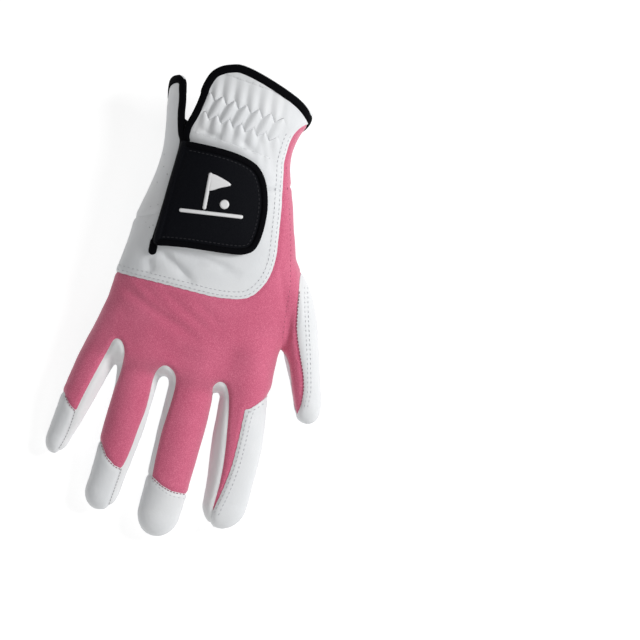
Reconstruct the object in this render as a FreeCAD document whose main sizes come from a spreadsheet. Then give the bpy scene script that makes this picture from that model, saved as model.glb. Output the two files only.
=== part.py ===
"""Golf glove for the right hand, lying palm down with the hand's shape in it.

Row frame in millimetres: +Z up, the back of the hand faces +Z, the fingers point to -Y, the
thumb is on the +X side, and the origin is under the middle of the glove, on the surface it
lies on. Every panel is a thin shell; panels that cross a joint of the hand are divided there.
"""

import FreeCAD
import Part

import os
from math import atan2, cos, degrees, hypot, radians, sin

from FreeCAD import Placement, Rotation, Vector

doc = FreeCAD.newDocument("golf_glove")
dims = doc.addObject("Spreadsheet::Sheet", "Dims")

# ---------------------------------------------------------------- driving dimensions

# Sections of the hand across Y: left edge, right edge and height of each ellipse.
HAND = {
    "rim": (112, -3, 70, 40),
    "mouth": (96, -5.5, 62, 39),
    "wrist": (80, -7.2, 54.5, 37),
    "waist": (64, -9.8, 48.4, 35.5),
    "cuff": (48, -16.5, 48.8, 34),
    "heel": (30, -23.8, 49.8, 33),
    "thenar": (13, -30.3, 49, 31.5),
    "palm": (-5, -38, 46.5, 29),
    "knuckle": (-25, -46.5, 41.5, 25.5),
    "front": (-45, -55, 40, 22),
}

# Digits: place of the first hinge, angle from -Y, then for the first hinge, the second hinge
# and the start of the round tip: distance along, width, height and height of the centre.
DIGITS = {
    "little": (-36.8, -20, 24.7, (0, 16.2, 15, 10.5), (22, 14.8, 13, 10), (48, 11.4, 9.6, 5.1), 6.3),
    "ring": (-19.5, -28, 16.2, (0, 17.4, 16.5, 11.5), (29, 17.2, 14.5, 10.7), (61, 14, 11, 5.8), 7.7),
    "middle": (4, -35, 13.3, (0, 18.8, 17.5, 11.8), (31, 20, 15.5, 11), (64, 18, 12, 6.3), 8.6),
    "index": (28.3, -38, 9.5, (0, 21.2, 18, 11.8), (27, 22.4, 16, 11), (56, 18.6, 12, 6.3), 9),
    "thumb": (47, 8, -9.3, (0, 19, 18.4, 9.7), (36, 15, 14.5, 7.6), (58, 12.5, 11, 5.8), 7),
}
STATIONS = ("root", "joint", "nail")

SIZES = {
    "leather": 1.0,  # thickness of every panel
    "binding_over": 0.8,  # how far the edge tape stands out over the leather
    "binding_under": 1.8,  # how deep it reaches inside, from the outer face
    "binding_width": 3.6,
    "elastic_deep": 2.4,
    "loop_top": 0.9,
    "hook_low": 1.3,
    "hook_top": 2.1,
    "tab_low": 2.1,
    "tab_top": 3.6,
    "tab_edge_top": 4.0,
    "emblem_top": 4.5,
    "joint_gap": 0.5,
    "hinge_height": 3.6,  # of a finger's hinge over its palm side
    "knuckle_bend": 84.0,  # opening cut for 80 degrees of travel
    "joint_bend": 94.0,  # opening cut for 90 degrees of travel
    "thumb_bend": 64.0,  # opening cut for 60 degrees of travel
    "thumb_ball": 10.4,  # radius of the thumb's root
    "side_height_cuff": 19.0,  # height of the side seam at the cuff
    "side_height_front": 11.5,  # and at the knuckles
    "web_width": 1.0,
    "web_deep": 1.6,
}


def fill_sheet():
    """Writes every driving dimension into the sheet, one alias a row."""
    rows = []
    for name, values in HAND.items():
        rows += [(f"{name}_{what}", v) for what, v in zip(("along", "left", "right", "top"), values)]
    for name, (x, y, turn, *stations, tip) in DIGITS.items():
        rows += [(f"{name}_x", x), (f"{name}_y", y), (f"{name}_turn", turn), (f"{name}_tip", tip)]
        for place, values in zip(STATIONS, stations):
            rows += [(f"{name}_{place}_{what}", v) for what, v in zip(("far", "wide", "high", "mid"), values)]
    rows += list(SIZES.items())
    for i, (alias, value) in enumerate(rows, 1):
        dims.set(f"A{i}", alias)
        dims.set(f"B{i}", str(value))
        dims.setAlias(f"B{i}", alias)
    doc.recompute()


fill_sheet()


def get(alias):
    return float(getattr(dims, alias))


def make(kind, name, **values):
    """A document object, with each text value bound as an expression and the rest set."""
    item = doc.addObject(kind, name)
    for key, value in values.items():
        if isinstance(value, str):
            item.setExpression(key.replace("_dot_", "."), value)
        else:
            setattr(item, key, value)
    return item


def cut(name, base, tool):
    return make("Part::Cut", name, Base=base, Tool=tool, Refine=False)


def common(name, base, tool):
    return make("Part::Common", name, Base=base, Tool=tool, Refine=False)


def fuse(name, *shapes):
    return make("Part::MultiFuse", name, Shapes=list(shapes), Refine=False)


# ---------------------------------------------------------------- outlines seen from above


def outline(name, start, *path):
    """A closed sketch. Each step of path is a point, or a middle point and an end of an arc."""
    sketch = doc.addObject("Sketcher::SketchObject", name + "_outline")
    sketch.Placement = Placement(Vector(0, 0, -10), Rotation())
    here = Vector(*start, 0)
    for step in list(path) + [start]:
        if isinstance(step[0], tuple):
            mid, end = Vector(*step[0], 0), Vector(*step[1], 0)
            sketch.addGeometry(Part.Arc(here, mid, end))
        else:
            end = Vector(*step, 0)
            if (end - here).Length > 1e-6:
                sketch.addGeometry(Part.LineSegment(here, end))
        here = end
    return sketch


def prism(name, start, *path):
    """An outline extruded upwards through the whole glove."""
    block = make("Part::Extrusion", name, Base=outline(name, start, *path), Solid=True)
    block.DirMode = "Custom"
    block.Dir = Vector(0, 0, 1)
    block.LengthFwd = 70
    block.FaceMakerClass = "Part::FaceMakerBullseye"
    return block


def strip(name, points, before, after):
    """A prism that follows a line of points, from before to its left to after to its right."""
    line = [Vector(*p, 0) for p in points]
    sides = ([], [])
    for i, p in enumerate(line):
        run = line[min(i + 1, len(line) - 1)] - line[max(i - 1, 0)]
        left = Vector(-run.y, run.x, 0).normalize()
        sides[0].append(p + left * before)
        sides[1].append(p - left * after)
    ring = [(p.x, p.y) for p in sides[0] + sides[1][::-1]]
    return prism(name, ring[0], *ring[1:])


# ---------------------------------------------------------------- layers of the hand


def hand_solid(name, offset):
    """The hand as one smooth solid, grown by offset (an expression) all round."""
    rings = []
    for place in HAND:
        ring = make(
            "Part::Ellipse",
            f"{name}_{place}",
            MajorRadius=f"(Dims.{place}_right - Dims.{place}_left) / 2 + ({offset})",
            MinorRadius=f"Dims.{place}_top / 2 + ({offset})",
        )
        ring.Placement = Placement(Vector(), Rotation(Vector(1, 0, 0), 90))
        ring.setExpression("Placement.Base.x", f"(Dims.{place}_right + Dims.{place}_left) / 2")
        ring.setExpression("Placement.Base.y", f"Dims.{place}_along")
        ring.setExpression("Placement.Base.z", f"Dims.{place}_top / 2")
        rings.append(ring)
    return make("Part::Loft", name, Sections=rings, Solid=True, Ruled=True)


solids = {}


def layer(low, high):
    """The shell between two offsets from the hand's outer face."""
    for offset in (low, high):
        if offset not in solids:
            solids[offset] = hand_solid(f"hand_{len(solids)}", offset)
    return cut(f"layer_{len(doc.Objects)}", solids[high], solids[low])


def halves():
    """Two blocks that meet at the side seam, which drops from the cuff to the knuckles."""
    back, front = get("rim_along") + 8, get("front_along") - 8
    slope = (get("side_height_cuff") - get("side_height_front")) / (back - front)
    turn = Rotation(Vector(1, 0, 0), degrees(atan2(slope, 1)))
    low = Vector(-90, front, get("side_height_front"))
    size = {"Length": 180, "Width": back - front + 20, "Height": 60}
    upper = make("Part::Box", "upper_half", Placement=Placement(low, turn), **size)
    under = Placement(low, turn).multiply(Placement(Vector(0, 0, -60), Rotation()))
    lower = make("Part::Box", "lower_half", Placement=under, **size)
    return upper, lower


upper_half, lower_half = halves()

# The line where the fingers leave the hand, square to each finger, from the little finger on.
KNUCKLE_LINE = [(-70, -4.7), (-29.1, -23.6), (-27.9, -25.5), (-11, -30.5), (-5.2, -32.8), (13.4, -37.2), (17.6, -36.2), (60, -43.3)]

RIM_BACK = [(9.8, 97), (12.4, 101.3), (16.5, 104.4), (22, 105.9), (28, 105.5), (36, 102), (46, 96), (52.5, 91), (56.6, 86.6), (58.2, 82)]
RIM_PALM = [(-12, 101), (-6, 97), (-2.5, 86), (2, 78), (9, 72.5), (20, 69.5), (34, 69.5), (46, 72.5), (62, 82)]
# The two edges of the slit in the yoke, from its end to the cuff.
SLIT_LITTLE = [(-14.1, 24), (-10.1, 38), (-7, 48), (-3.6, 60), (0.2, 74), (1.4, 80), (1.9, 90), (1.9, 97)]
SLIT_THUMB = [(-12.5, 24), (-9, 38), (-5.6, 48), (-2, 60), (2, 75), (3.2, 80), (7.6, 90), (9.8, 97)]


def hand_outline(name, rim):
    """Everything between a rim line at the cuff and the knuckle line."""
    return prism(name, KNUCKLE_LINE[0], *KNUCKLE_LINE[1:], (75, -40), (75, rim[-1][1]), *rim[::-1], (-75, rim[0][1]))


def shifted(points, across):
    """The same line moved sideways, to its left when across is positive."""
    line = [Vector(*p, 0) for p in points]
    moved = []
    for i, p in enumerate(line):
        run = line[min(i + 1, len(line) - 1)] - line[max(i - 1, 0)]
        q = p + Vector(-run.y, run.x, 0).normalize() * across
        moved.append((q.x, q.y))
    return moved


# ---------------------------------------------------------------- digits, in their own frame


def digit_place(name):
    """Frame of a digit: +X towards its tip, +Y towards the thumb's side, +Z up."""
    return Placement(
        Vector(get(f"{name}_x"), get(f"{name}_y"), 0),
        Rotation(Vector(0, 0, 1), -(90 + get(f"{name}_turn"))),
    )


def digit_solid(name, label, offset):
    """A digit as a solid with a round tip, grown by offset (an expression) all round."""
    rings = []
    for place, past in [(place, 0) for place in STATIONS] + [("nail", 1.2)]:
        base = f"Dims.{name}_{place}"
        ring = make(
            "Part::Ellipse",
            f"{label}_ring_{len(rings)}",
            MajorRadius=f"{base}_wide / 2 + ({offset})",
            MinorRadius=f"{base}_high / 2 + ({offset})",
        )
        # The ellipse's long axis lies along Y and its short one along Z.
        ring.Placement = Placement(Vector(), Rotation(Vector(0, 1, 0), Vector(0, 0, 1), Vector(1, 0, 0), "ZXY"))
        ring.setExpression("Placement.Base.x", f"{base}_far + {past}")
        ring.setExpression("Placement.Base.z", f"{base}_mid")
        rings.append(ring)
    tube = make("Part::Loft", f"{label}_tube", Sections=rings, Solid=True, Ruled=True)
    tip = make(
        "Part::Ellipsoid",
        f"{label}_tip",
        Radius1=f"Dims.{name}_nail_high / 2 + 0.25 + ({offset})",
        Radius2=f"Dims.{name}_tip + ({offset})",
        Radius3=f"Dims.{name}_nail_wide / 2 + 0.25 + ({offset})",
    )
    tip.setExpression("Placement.Base.x", f"Dims.{name}_nail_far")
    tip.setExpression("Placement.Base.z", f"Dims.{name}_nail_mid")
    return fuse(label, tube, tip)


def hinge_height(name, place):
    """Height of a digit's hinge over the surface the glove lies on."""
    palm_side = get(f"{name}_{place}_mid") - get(f"{name}_{place}_high") / 2
    return palm_side + get("hinge_height")


def bend_room(name, place, bend):
    """What is cut away round a hinge: a wedge on the palm side and a slit on the back."""
    far, height = get(f"{name}_{place}_far"), hinge_height(name, place)
    start = radians(get(bend) / 2)
    turn = Rotation(Vector(sin(start), 0, -cos(start)), Vector(), Vector(0, 1, 0), "ZXY")
    wedge = make("Part::Cylinder", f"{name}_{place}_wedge", Radius=34, Height=60, Angle=f"Dims.{bend}")
    wedge.Placement = Placement(Vector(far, -30, height), turn)
    slit = make("Part::Box", f"{name}_{place}_slit", Length="Dims.joint_gap", Width=60, Height=60)
    slit.Placement = Placement(Vector(far - get("joint_gap") / 2, -30, height - 0.4), Rotation())
    return fuse(f"{name}_{place}_room", wedge, slit)


def block(name, low, high):
    """A box across a digit from one distance along it to another."""
    return make("Part::Box", name, Length=high - low, Width=80, Height=80, Placement=Placement(Vector(low, -40, -40), Rotation()))


def sector(name, digit, place, start, stop, low, high):
    """A slice of pie along a digit. Angles go from straight up towards the thumb's side."""
    pie = make("Part::Cylinder", name, Radius=40, Height=high - low, Angle=stop - start)
    first = Vector(0, sin(radians(stop)), cos(radians(stop)))
    pie.Placement = Placement(
        Vector(low, 0, get(f"{digit}_{place}_mid")), Rotation(first, Vector(), Vector(1, 0, 0), "ZXY")
    )
    return pie


nodes = {}


def keep(item, label, place=None):
    """Makes item the sub-part called label."""
    item.Label = label
    if place is not None:
        item.Placement = place
    nodes[label] = item
    return item


def copy_at(item, name, place):
    """A separate object with item's shape, standing at place."""
    doc.recompute()
    twin = doc.addObject("Part::Feature", name)
    twin.Shape = item.Shape.copy()
    twin.Placement = place
    return twin


# Panel edges round each digit, in degrees from straight up towards the thumb's side:
# back panel, fourchette on the little finger's side, fourchette on the thumb's side.
PANELS = {
    "little": ((-103, 37), None, (37, 111)),
    "ring": ((-88, 50), (-116, -88), (50, 112)),
    "middle": ((-62, 92), (-112, -62), (92, 116)),
    "index": ((-41, 0), (-112, -41), None),
}
SEAM = {"little": 30, "ring": 43, "middle": 48.5}  # where the fingertip leather starts
INDEX_PATCH = (0, 100, 11)  # the index finger's patch: its two edges and where it starts


def finger(name):
    """All panels of one finger: a base segment and a tip segment."""
    place = digit_place(name)
    outer = digit_solid(name, f"{name}_outer", "0")
    inner = digit_solid(name, f"{name}_inner", "-Dims.leather")
    stall = cut(f"{name}_stall", outer, inner)
    rooms = fuse(f"{name}_rooms", bend_room(name, "root", "knuckle_bend"), bend_room(name, "joint", "joint_bend"))
    stall = cut(f"{name}_free_stall", stall, rooms)
    joint = get(f"{name}_joint_far")
    end = get(f"{name}_nail_far") + get(f"{name}_tip") + 2
    back, inside, outside = PANELS[name]
    for segment, low, high, where in (("base", 0, joint, "joint"), ("tip", joint, end, "nail")):
        tag = f"{name}_{segment}"
        shell = common(f"{tag}_shell", stall, block(f"{tag}_span", low, high))
        cover = sector(f"{tag}_back_pie", name, where, *back, low, high)
        if name == "index":
            cover = index_cover(tag, segment, shell, cover, place, low, high, where)
        elif segment == "tip":
            cap = sector(f"{tag}_cap_pie", name, where, *back, SEAM[name], high)
            keep(common(f"{tag}_cap", shell, cap), f"tip_cap_{name}", place)
            cover = sector(f"{tag}_pink_pie", name, where, *back, low, SEAM[name])
        keep(common(f"{tag}_back", shell, cover), f"back_{name}_{segment}", place)
        sides = [
            sector(f"{tag}_side_{i}", name, where, *span, low, high)
            for i, span in enumerate((inside, outside))
            if span is not None
        ]
        side = sides[0] if len(sides) == 1 else fuse(f"{tag}_sides", *sides)
        keep(common(f"{tag}_fourchette", shell, side), f"fourchette_{name}_{segment}", place)
        last = max(s[1] for s in (back, inside, outside) if s)
        if name == "index":
            last = INDEX_PATCH[1]
        first = min(s[0] for s in (back, inside, outside) if s)
        under = sector(f"{tag}_palm_pie", name, where, last, 360 + first, low, high)
        keep(common(f"{tag}_palm", shell, under), f"palm_{name}_{segment}", place)


def index_cover(tag, segment, shell, cover, place, low, high, where):
    """The index finger's leather patch, and the back panel's slice beside and above it."""
    first, last, start = INDEX_PATCH
    begin = start if segment == "base" else low
    patch = sector(f"{tag}_patch_pie", "index", where, first, last, begin, high)
    keep(common(f"{tag}_patch", shell, patch), f"index_patch_{segment}", place)
    if segment == "base":
        above = sector(f"{tag}_above_pie", "index", where, first, last, low, start)
        cover = fuse(f"{tag}_cover", cover, above)
    return cover


def thumb():
    """The thumb: a ball at its root, a base segment and a tip segment, leather and fabric."""
    place = digit_place("thumb")
    outer = digit_solid("thumb", "thumb_outer", "0")
    inner = digit_solid("thumb", "thumb_inner", "-Dims.leather")
    mid = get("thumb_root_mid")
    ball = make("Part::Sphere", "thumb_ball_outer", Radius="Dims.thumb_ball")
    hollow = make("Part::Sphere", "thumb_ball_inner", Radius="Dims.thumb_ball - Dims.leather")
    for sphere in (ball, hollow):
        sphere.Placement = Placement(Vector(0, 0, mid), Rotation())
    shell = cut("thumb_stall", fuse("thumb_full", outer, ball), fuse("thumb_hollow", inner, hollow))
    # The root is open towards the hand.
    door = make("Part::Cylinder", "thumb_door", Radius=30, Height=60, Angle=136)
    door.Placement = Placement(Vector(0, 0, -20), Rotation(Vector(0, 0, 1), 148))
    floor = make("Part::Box", "thumb_floor", Length=140, Width=80, Height=20, Placement=Placement(Vector(-40, -40, -20), Rotation()))
    shell = cut("thumb_open", shell, fuse("thumb_cuts", door, floor))
    shell = cut("thumb_free_stall", shell, bend_room("thumb", "joint", "thumb_bend"))
    joint = get("thumb_joint_far")
    end = get("thumb_nail_far") + get("thumb_tip") + 2
    for segment, low, high, where in (("base", -20, joint, "root"), ("tip", joint, end, "nail")):
        tag = f"thumb_{segment}"
        part = common(f"{tag}_shell", shell, block(f"{tag}_span", low, high))
        pink = sector(f"{tag}_pink_pie", "thumb", where, -92, -12, low, high - (0 if segment == "base" else 10))
        keep(common(f"{tag}_pink", part, pink), f"thumb_strip_{segment}", place)
        keep(cut(f"{tag}_white", part, pink), f"thumb_leather_{segment}", place)
    clear = digit_solid("thumb", "thumb_clear", "0.6")
    room = make("Part::Sphere", "thumb_room", Radius="Dims.thumb_ball + 0.5")
    room.Placement = Placement(Vector(0, 0, mid), Rotation())
    return copy_at(fuse("thumb_clearance", clear, room), "thumb_clearance_in_hand", place)


# ---------------------------------------------------------------- the hand's own panels


def yoke_outline():
    """White back yoke: rounded lower corner on the thumb's side, slit edge to the cuff."""
    return prism(
        "yoke_area",
        (-40, 16.5), (-30, 13.5), ((-8, 7.6), (14, 2)), ((24, 0.9), (32, 3)), ((38.4, 9.5), (41.8, 20)),
        ((44, 40), (45.4, 57)), ((46.6, 67), (51, 76)), (60, 82), (60, 112), (-40, 112),
    )


def rim_lines():
    width = get("binding_width")
    return shifted(RIM_BACK, -width), shifted(RIM_PALM, -width)


def slit_opening():
    """The slit in the yoke: narrow under the tab and open like a V at the cuff."""
    left = shifted(SLIT_LITTLE, 1)
    right = shifted(SLIT_THUMB, -1)
    return prism("slit_area", left[0], *left[1:], (0.9, 113), (8.8, 113), *right[::-1])


def slit_bindings():
    """Edge tape on both sides of the slit."""
    width = get("binding_width")
    tape = common("slit_tape", layer("-Dims.binding_under", "Dims.binding_over"), upper_half)
    little_side = strip("slit_tape_little", SLIT_LITTLE, width, 0.1)
    thumb_side = strip("slit_tape_thumb", SLIT_THUMB, 0, width - 0.6)
    return tape, little_side, thumb_side


def hand_panels(thumb_room):
    """Palm, back, yoke, bindings, elastics, patch and webs: all that the hand's body holds."""
    skin = layer("-Dims.leather", "0")
    rooms = [copy_at(bend_room_of_hand(n), f"{n}_room_in_hand", digit_place(n)) for n in PANELS]
    clear = fuse("hand_rooms", thumb_room, *rooms)
    skin = cut("hand_skin", skin, clear)
    back_skin = common("back_skin", skin, upper_half)
    palm_skin = common("palm_skin", skin, lower_half)
    inner_back, inner_palm = rim_lines()
    back_area = hand_outline("back_area", inner_back)
    palm_area = hand_outline("palm_area", inner_palm)
    keep(common("palm_cut", palm_skin, palm_area), "palm_panel")

    tape, little_side, thumb_side = slit_bindings()
    slit = slit_opening()
    slit_all = fuse("slit_and_tape", slit, little_side, thumb_side)
    ulnar_top = prism("ulnar_top", (-40, 97.4), (6, 97.4), (6, 113), (-40, 113))
    yoke = yoke_outline()
    whole_back = common("whole_back", back_skin, back_area)
    keep(cut("back_cut", whole_back, yoke), "back_panel")
    yoke_skin = common("yoke_skin", whole_back, yoke)
    keep(cut("yoke_cut", yoke_skin, fuse("yoke_tools", slit_all, ulnar_top)), "back_yoke")

    keep(common("slit_tape_a", tape, little_side), "slit_binding_little_side")
    keep(common("slit_tape_b", tape, thumb_side), "slit_binding_thumb_side")
    keep(cuff_binding(clear, back_area, palm_area, fuse("slit_cuts", slit, little_side, thumb_side)), "cuff_binding")
    keep(cut("tack_clear", slit_end(), fuse("tack_tools", little_side, thumb_side)), "slit_end_tack")
    elastics()
    loop = common("loop_layer", layer("0", "Dims.loop_top"), upper_half)
    loop_area = prism("loop_area", (8, 29), (28, 27), ((31.5, 28.5), (32.5, 32)), (33.5, 46), ((32.5, 52.5), (28, 56)), (10, 62.5), (6, 50))
    keep(common("loop_cut", loop, loop_area), "loop_patch")
    webs()


def bend_room_of_hand(name):
    """The same bend room, once more, to be cut out of the hand beside a finger's root."""
    height = hinge_height(name, "root")
    half = get(f"{name}_root_wide") / 2 + 0.2
    start = radians(get("knuckle_bend") / 2)
    turn = Rotation(Vector(sin(start), 0, -cos(start)), Vector(), Vector(0, 1, 0), "ZXY")
    wedge = make("Part::Cylinder", f"{name}_hand_wedge", Radius=14, Height=2 * half, Angle="Dims.knuckle_bend")
    wedge.Placement = Placement(Vector(0, -half, height), turn)
    slit = make("Part::Box", f"{name}_hand_slit", Length="Dims.joint_gap", Width=2 * half, Height=60)
    slit.Placement = Placement(Vector(-get("joint_gap") / 2, -half, height - 0.4), Rotation())
    return fuse(f"{name}_hand_room", wedge, slit)


def cuff_binding(clear, back_area, palm_area, slit_area):
    """Edge tape round the cuff: back, side strip and palm, where it lies flush with the leather."""
    tape = cut("cuff_tape", layer("-Dims.binding_under", "Dims.binding_over"), clear)
    flush_tape = cut("flush_tape", layer("-Dims.binding_under", "0"), clear)
    back_rim = cut("back_rim", common("back_rim_all", common("tape_back", tape, upper_half), hand_outline("rim_area", RIM_BACK)), back_area)
    side_top = prism("side_top", (-20, 97.3), (1.9, 97.3), ((1.2, 100), (-1.5, 101.3)), (-20, 101.3))
    side_rim = common("side_rim", common("tape_side", tape, upper_half), side_top)
    main = cut("back_rim_clear", back_rim, fuse("rim_cuts", slit_area, prism("rim_left", (-40, 60), (6, 60), (6, 112), (-40, 112))))
    palm_rim_area = hand_outline("palm_rim_area", RIM_PALM)
    palm_rim = cut("palm_rim", common("palm_rim_all", common("tape_palm", flush_tape, lower_half), palm_rim_area), palm_area)
    return fuse("cuff_tape_all", main, side_rim, palm_rim)


def slit_end():
    """The rounded end of the tape below the tab, sewn down over the end of the slit."""
    pad = common("tack_layer", layer("0", "Dims.binding_over + 0.6"), upper_half)
    area = prism("tack_area", (-15.9, 26), (-16.4, 22.6), ((-14.9, 20.4), (-13.0, 22.2)), (-12.6, 23.8), (-15.5, 23.8))
    return common("tack_cut", pad, area)


def elastics():
    """Two bands sewn stretched inside the wrist, which gather the yoke's leather."""
    under = common("elastic_layer", layer("-Dims.elastic_deep", "-Dims.leather - 0.05"), upper_half)
    upper = prism("elastic_area_a", (14.5, 93), (14, 86.5), (47, 76.5), (49.5, 82.5))
    lower = prism("elastic_area_b", (12, 84.5), (10, 78.2), (45, 67.5), (46, 74))
    keep(common("elastic_a", under, upper), "elastic_band_upper")
    keep(common("elastic_b", under, lower), "elastic_band_lower")


WEBS = {
    "little_ring": (-28.6, -24.4, 20.4),
    "ring_middle": (-8.0, -31.4, 14.8),
    "middle_index": (15.6, -36.6, 11.4),
}


def webs():
    """The curved floor of each gap between two fingers, where the fourchettes meet."""
    for name, (x, y, turn) in WEBS.items():
        box = make("Part::Box", f"web_{name}_box", Length="Dims.web_deep", Width="Dims.web_width", Height=60)
        middle = Placement(Vector(-get("web_deep") / 2, -get("web_width") / 2, -10), Rotation())
        box.Placement = Placement(Vector(x, y, 0), Rotation(Vector(0, 0, 1), -(90 + turn))).multiply(middle)
        keep(common(f"web_{name}", box, solids["-Dims.leather"]), f"fourchette_web_{name}")


# ---------------------------------------------------------------- closure tab


def tab_outline(name, inset):
    """The tab seen from above, smaller by inset on its three free sides."""
    i = inset
    return prism(
        name,
        (-13.1, 28), (-10.8, 24.9 + i), ((8, 22.6 + i), (26, 20.9 + i)), ((32.6 - i * 0.6, 22.6 + i * 0.8), (35.2 - i, 29)),
        ((37.6 - i, 43), (36.2 - i, 54.5)), ((34.6 - i, 59.3 - i * 0.5), (30.5 - i * 0.5, 62.6 - i * 0.8)),
        ((16, 68.6 - i), (0.6, 71.8 - i)), (-0.1, 71.4 - i), (-3.3, 60), (-6.7, 48), (-9.8, 38),
    )


def tab():
    """The closure tab: shell, taped edge, hook patch under its end and a raised emblem."""
    body = common("tab_layer", layer("Dims.tab_low", "Dims.tab_top"), upper_half)
    keep(common("tab_cut", body, tab_outline("tab_area", 2.6)), "tab_panel")
    edge = common("tab_edge_layer", layer("Dims.tab_low", "Dims.tab_edge_top"), upper_half)
    ring = cut("tab_ring", tab_outline("tab_edge_area", 0), tab_outline("tab_edge_hole", 2.6))
    keep(common("tab_edge_cut", edge, ring), "tab_binding")
    hook = common("hook_layer", layer("Dims.hook_low", "Dims.hook_top"), upper_half)
    hook_area = prism("hook_area", (12, 29), (27, 27.4), ((30.6, 29), (31.6, 33)), (32.6, 46), ((31.6, 52), (27, 55)), (14, 59.5))
    keep(common("hook_cut", hook, hook_area), "hook_patch")
    keep(emblem(), "tab_emblem")


def emblem():
    """A plain pictogram in raised rubber: a flag on its stick, a ball and the ground."""
    raised = common("emblem_layer", layer("Dims.tab_top", "Dims.emblem_top"), upper_half)
    areas = [
        prism("emblem_stick", (9.4, 39.6), (10.9, 39.4), (12.9, 56.4), (11.4, 56.6)),
        prism("emblem_flag", (12.9, 56.4), (21.6, 51.4), (12.1, 48.8)),
        prism("emblem_ball", (16.4, 41.6), ((18.4, 43.6), (20.4, 41.6)), ((18.4, 39.6), (16.4, 41.6))),
        prism("emblem_ground", (0.4, 39.4), ((-0.4, 38.6), (0.3, 37.8)), (25.6, 35.4), ((26.4, 36.1), (25.8, 37.0))),
    ]
    return common("emblem_cut", raised, fuse("emblem_areas", *areas))


# ---------------------------------------------------------------- build, check and write


def build():
    thumb_room = thumb()
    for name in PANELS:
        finger(name)
    hand_panels(thumb_room)
    tab()
    doc.recompute()


def problems():
    """Every object that failed and every sub-part whose shape is missing or not valid."""
    found = [f"{o.Label}: {o.State}" for o in doc.Objects if "Invalid" in o.State or "Error" in o.State]
    for label, item in nodes.items():
        shape = item.Shape
        if shape.isNull() or not shape.isValid() or not shape.Solids:
            found.append(f"{label}: shape")
        elif any(s.Volume < 1e-9 for s in shape.Solids):
            found.append(f"{label}: tiny solid of {min(s.Volume for s in shape.Solids):.3f} mm3")
    return found


build()
bad = problems()
if bad:
    raise SystemExit("\n".join(bad))

os.makedirs("parts", exist_ok=True)
whole = FreeCAD.BoundBox()
for label, item in nodes.items():
    item.Shape.exportStep(f"parts/{label}.step")
    box = item.Shape.optimalBoundingBox(False)
    whole.add(box)
    print(f"{label:28s} solids {len(item.Shape.Solids)}  volume {item.Shape.Volume:9.1f} mm3")
print("box", [round(v, 3) for v in (whole.XMin, whole.XMax, whole.YMin, whole.YMax, whole.ZMin, whole.ZMax)])
for name in DIGITS:
    place = digit_place(name)
    for spot in ("root", "joint"):
        at = place.multVec(Vector(get(f"{name}_{spot}_far"), 0, hinge_height(name, spot)))
        axis = place.Rotation.multVec(Vector(0, 1, 0))
        print(name, spot, [round(v, 3) for v in at], [round(v, 4) for v in axis])
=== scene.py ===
"""Looks of the golf glove. Shapes are worked out in millimetres in the row frame."""

import bpy
import numpy as np
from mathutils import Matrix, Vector


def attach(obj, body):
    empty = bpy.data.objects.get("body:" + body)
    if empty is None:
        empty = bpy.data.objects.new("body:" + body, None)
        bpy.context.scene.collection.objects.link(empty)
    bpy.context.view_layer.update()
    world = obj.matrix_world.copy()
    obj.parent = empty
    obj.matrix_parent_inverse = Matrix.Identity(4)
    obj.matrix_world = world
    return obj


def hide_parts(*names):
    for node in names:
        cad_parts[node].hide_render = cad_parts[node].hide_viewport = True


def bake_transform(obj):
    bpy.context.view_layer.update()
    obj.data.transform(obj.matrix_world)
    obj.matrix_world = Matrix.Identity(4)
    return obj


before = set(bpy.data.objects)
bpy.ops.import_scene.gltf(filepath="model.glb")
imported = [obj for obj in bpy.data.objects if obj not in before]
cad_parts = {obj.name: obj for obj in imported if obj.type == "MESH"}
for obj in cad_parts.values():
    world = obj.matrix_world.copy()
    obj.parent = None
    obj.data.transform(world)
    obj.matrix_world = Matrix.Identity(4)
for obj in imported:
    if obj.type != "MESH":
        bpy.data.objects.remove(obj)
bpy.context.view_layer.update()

# ---------------------------------------------------------------- small helpers


def through(points):
    """A smooth function through (x, y) points, flat beyond both ends."""
    xs, ys = np.array(sorted(points), float).T
    slope = np.gradient(ys, xs)

    def value(x):
        x = np.clip(x, xs[0], xs[-1])
        i = np.clip(np.searchsorted(xs, x) - 1, 0, len(xs) - 2)
        h = xs[i + 1] - xs[i]
        t = (x - xs[i]) / h
        a, b = 2 * t**3 - 3 * t**2 + 1, t**3 - 2 * t**2 + t
        c, d = -2 * t**3 + 3 * t**2, t**3 - t**2
        return a * ys[i] + b * h * slope[i] + c * ys[i + 1] + d * h * slope[i + 1]

    return value


def round_off(points, closed=False, steps=6):
    """A Catmull-Rom line through points of any dimension."""
    p = np.array(points, float)
    p = np.vstack([p[-1], p, p[0], p[1]]) if closed else np.vstack([2 * p[0] - p[1], p, 2 * p[-1]
        - p[-2]])
    t = np.arange(steps)[:, None] / steps
    out = []
    for a, b, c, d in zip(p, p[1:], p[2:], p[3:]):
        out.append(0.5 * (2 * b + (c - a) * t + (2 * a - 5 * b + 4 * c - d) * t**2 + (3 * b - a - 3 * c
            + d) * t**3))
    if not closed:
        out.append(p[-2:-1])
    return np.vstack(out)


def spaced(line, step, closed=False):
    """The same line in about equal steps."""
    line = np.vstack([line, line[:1]]) if closed else np.asarray(line, float)
    along = np.concatenate([[0], np.cumsum(np.linalg.norm(np.diff(line, axis=0), axis=1))])
    n = max(2, int(round(along[-1] / step)) + 1)
    at = np.linspace(0, along[-1], n)
    out = np.stack([np.interp(at, along, line[:, k]) for k in range(line.shape[1])], 1)
    return out[:-1] if closed else out


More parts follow.
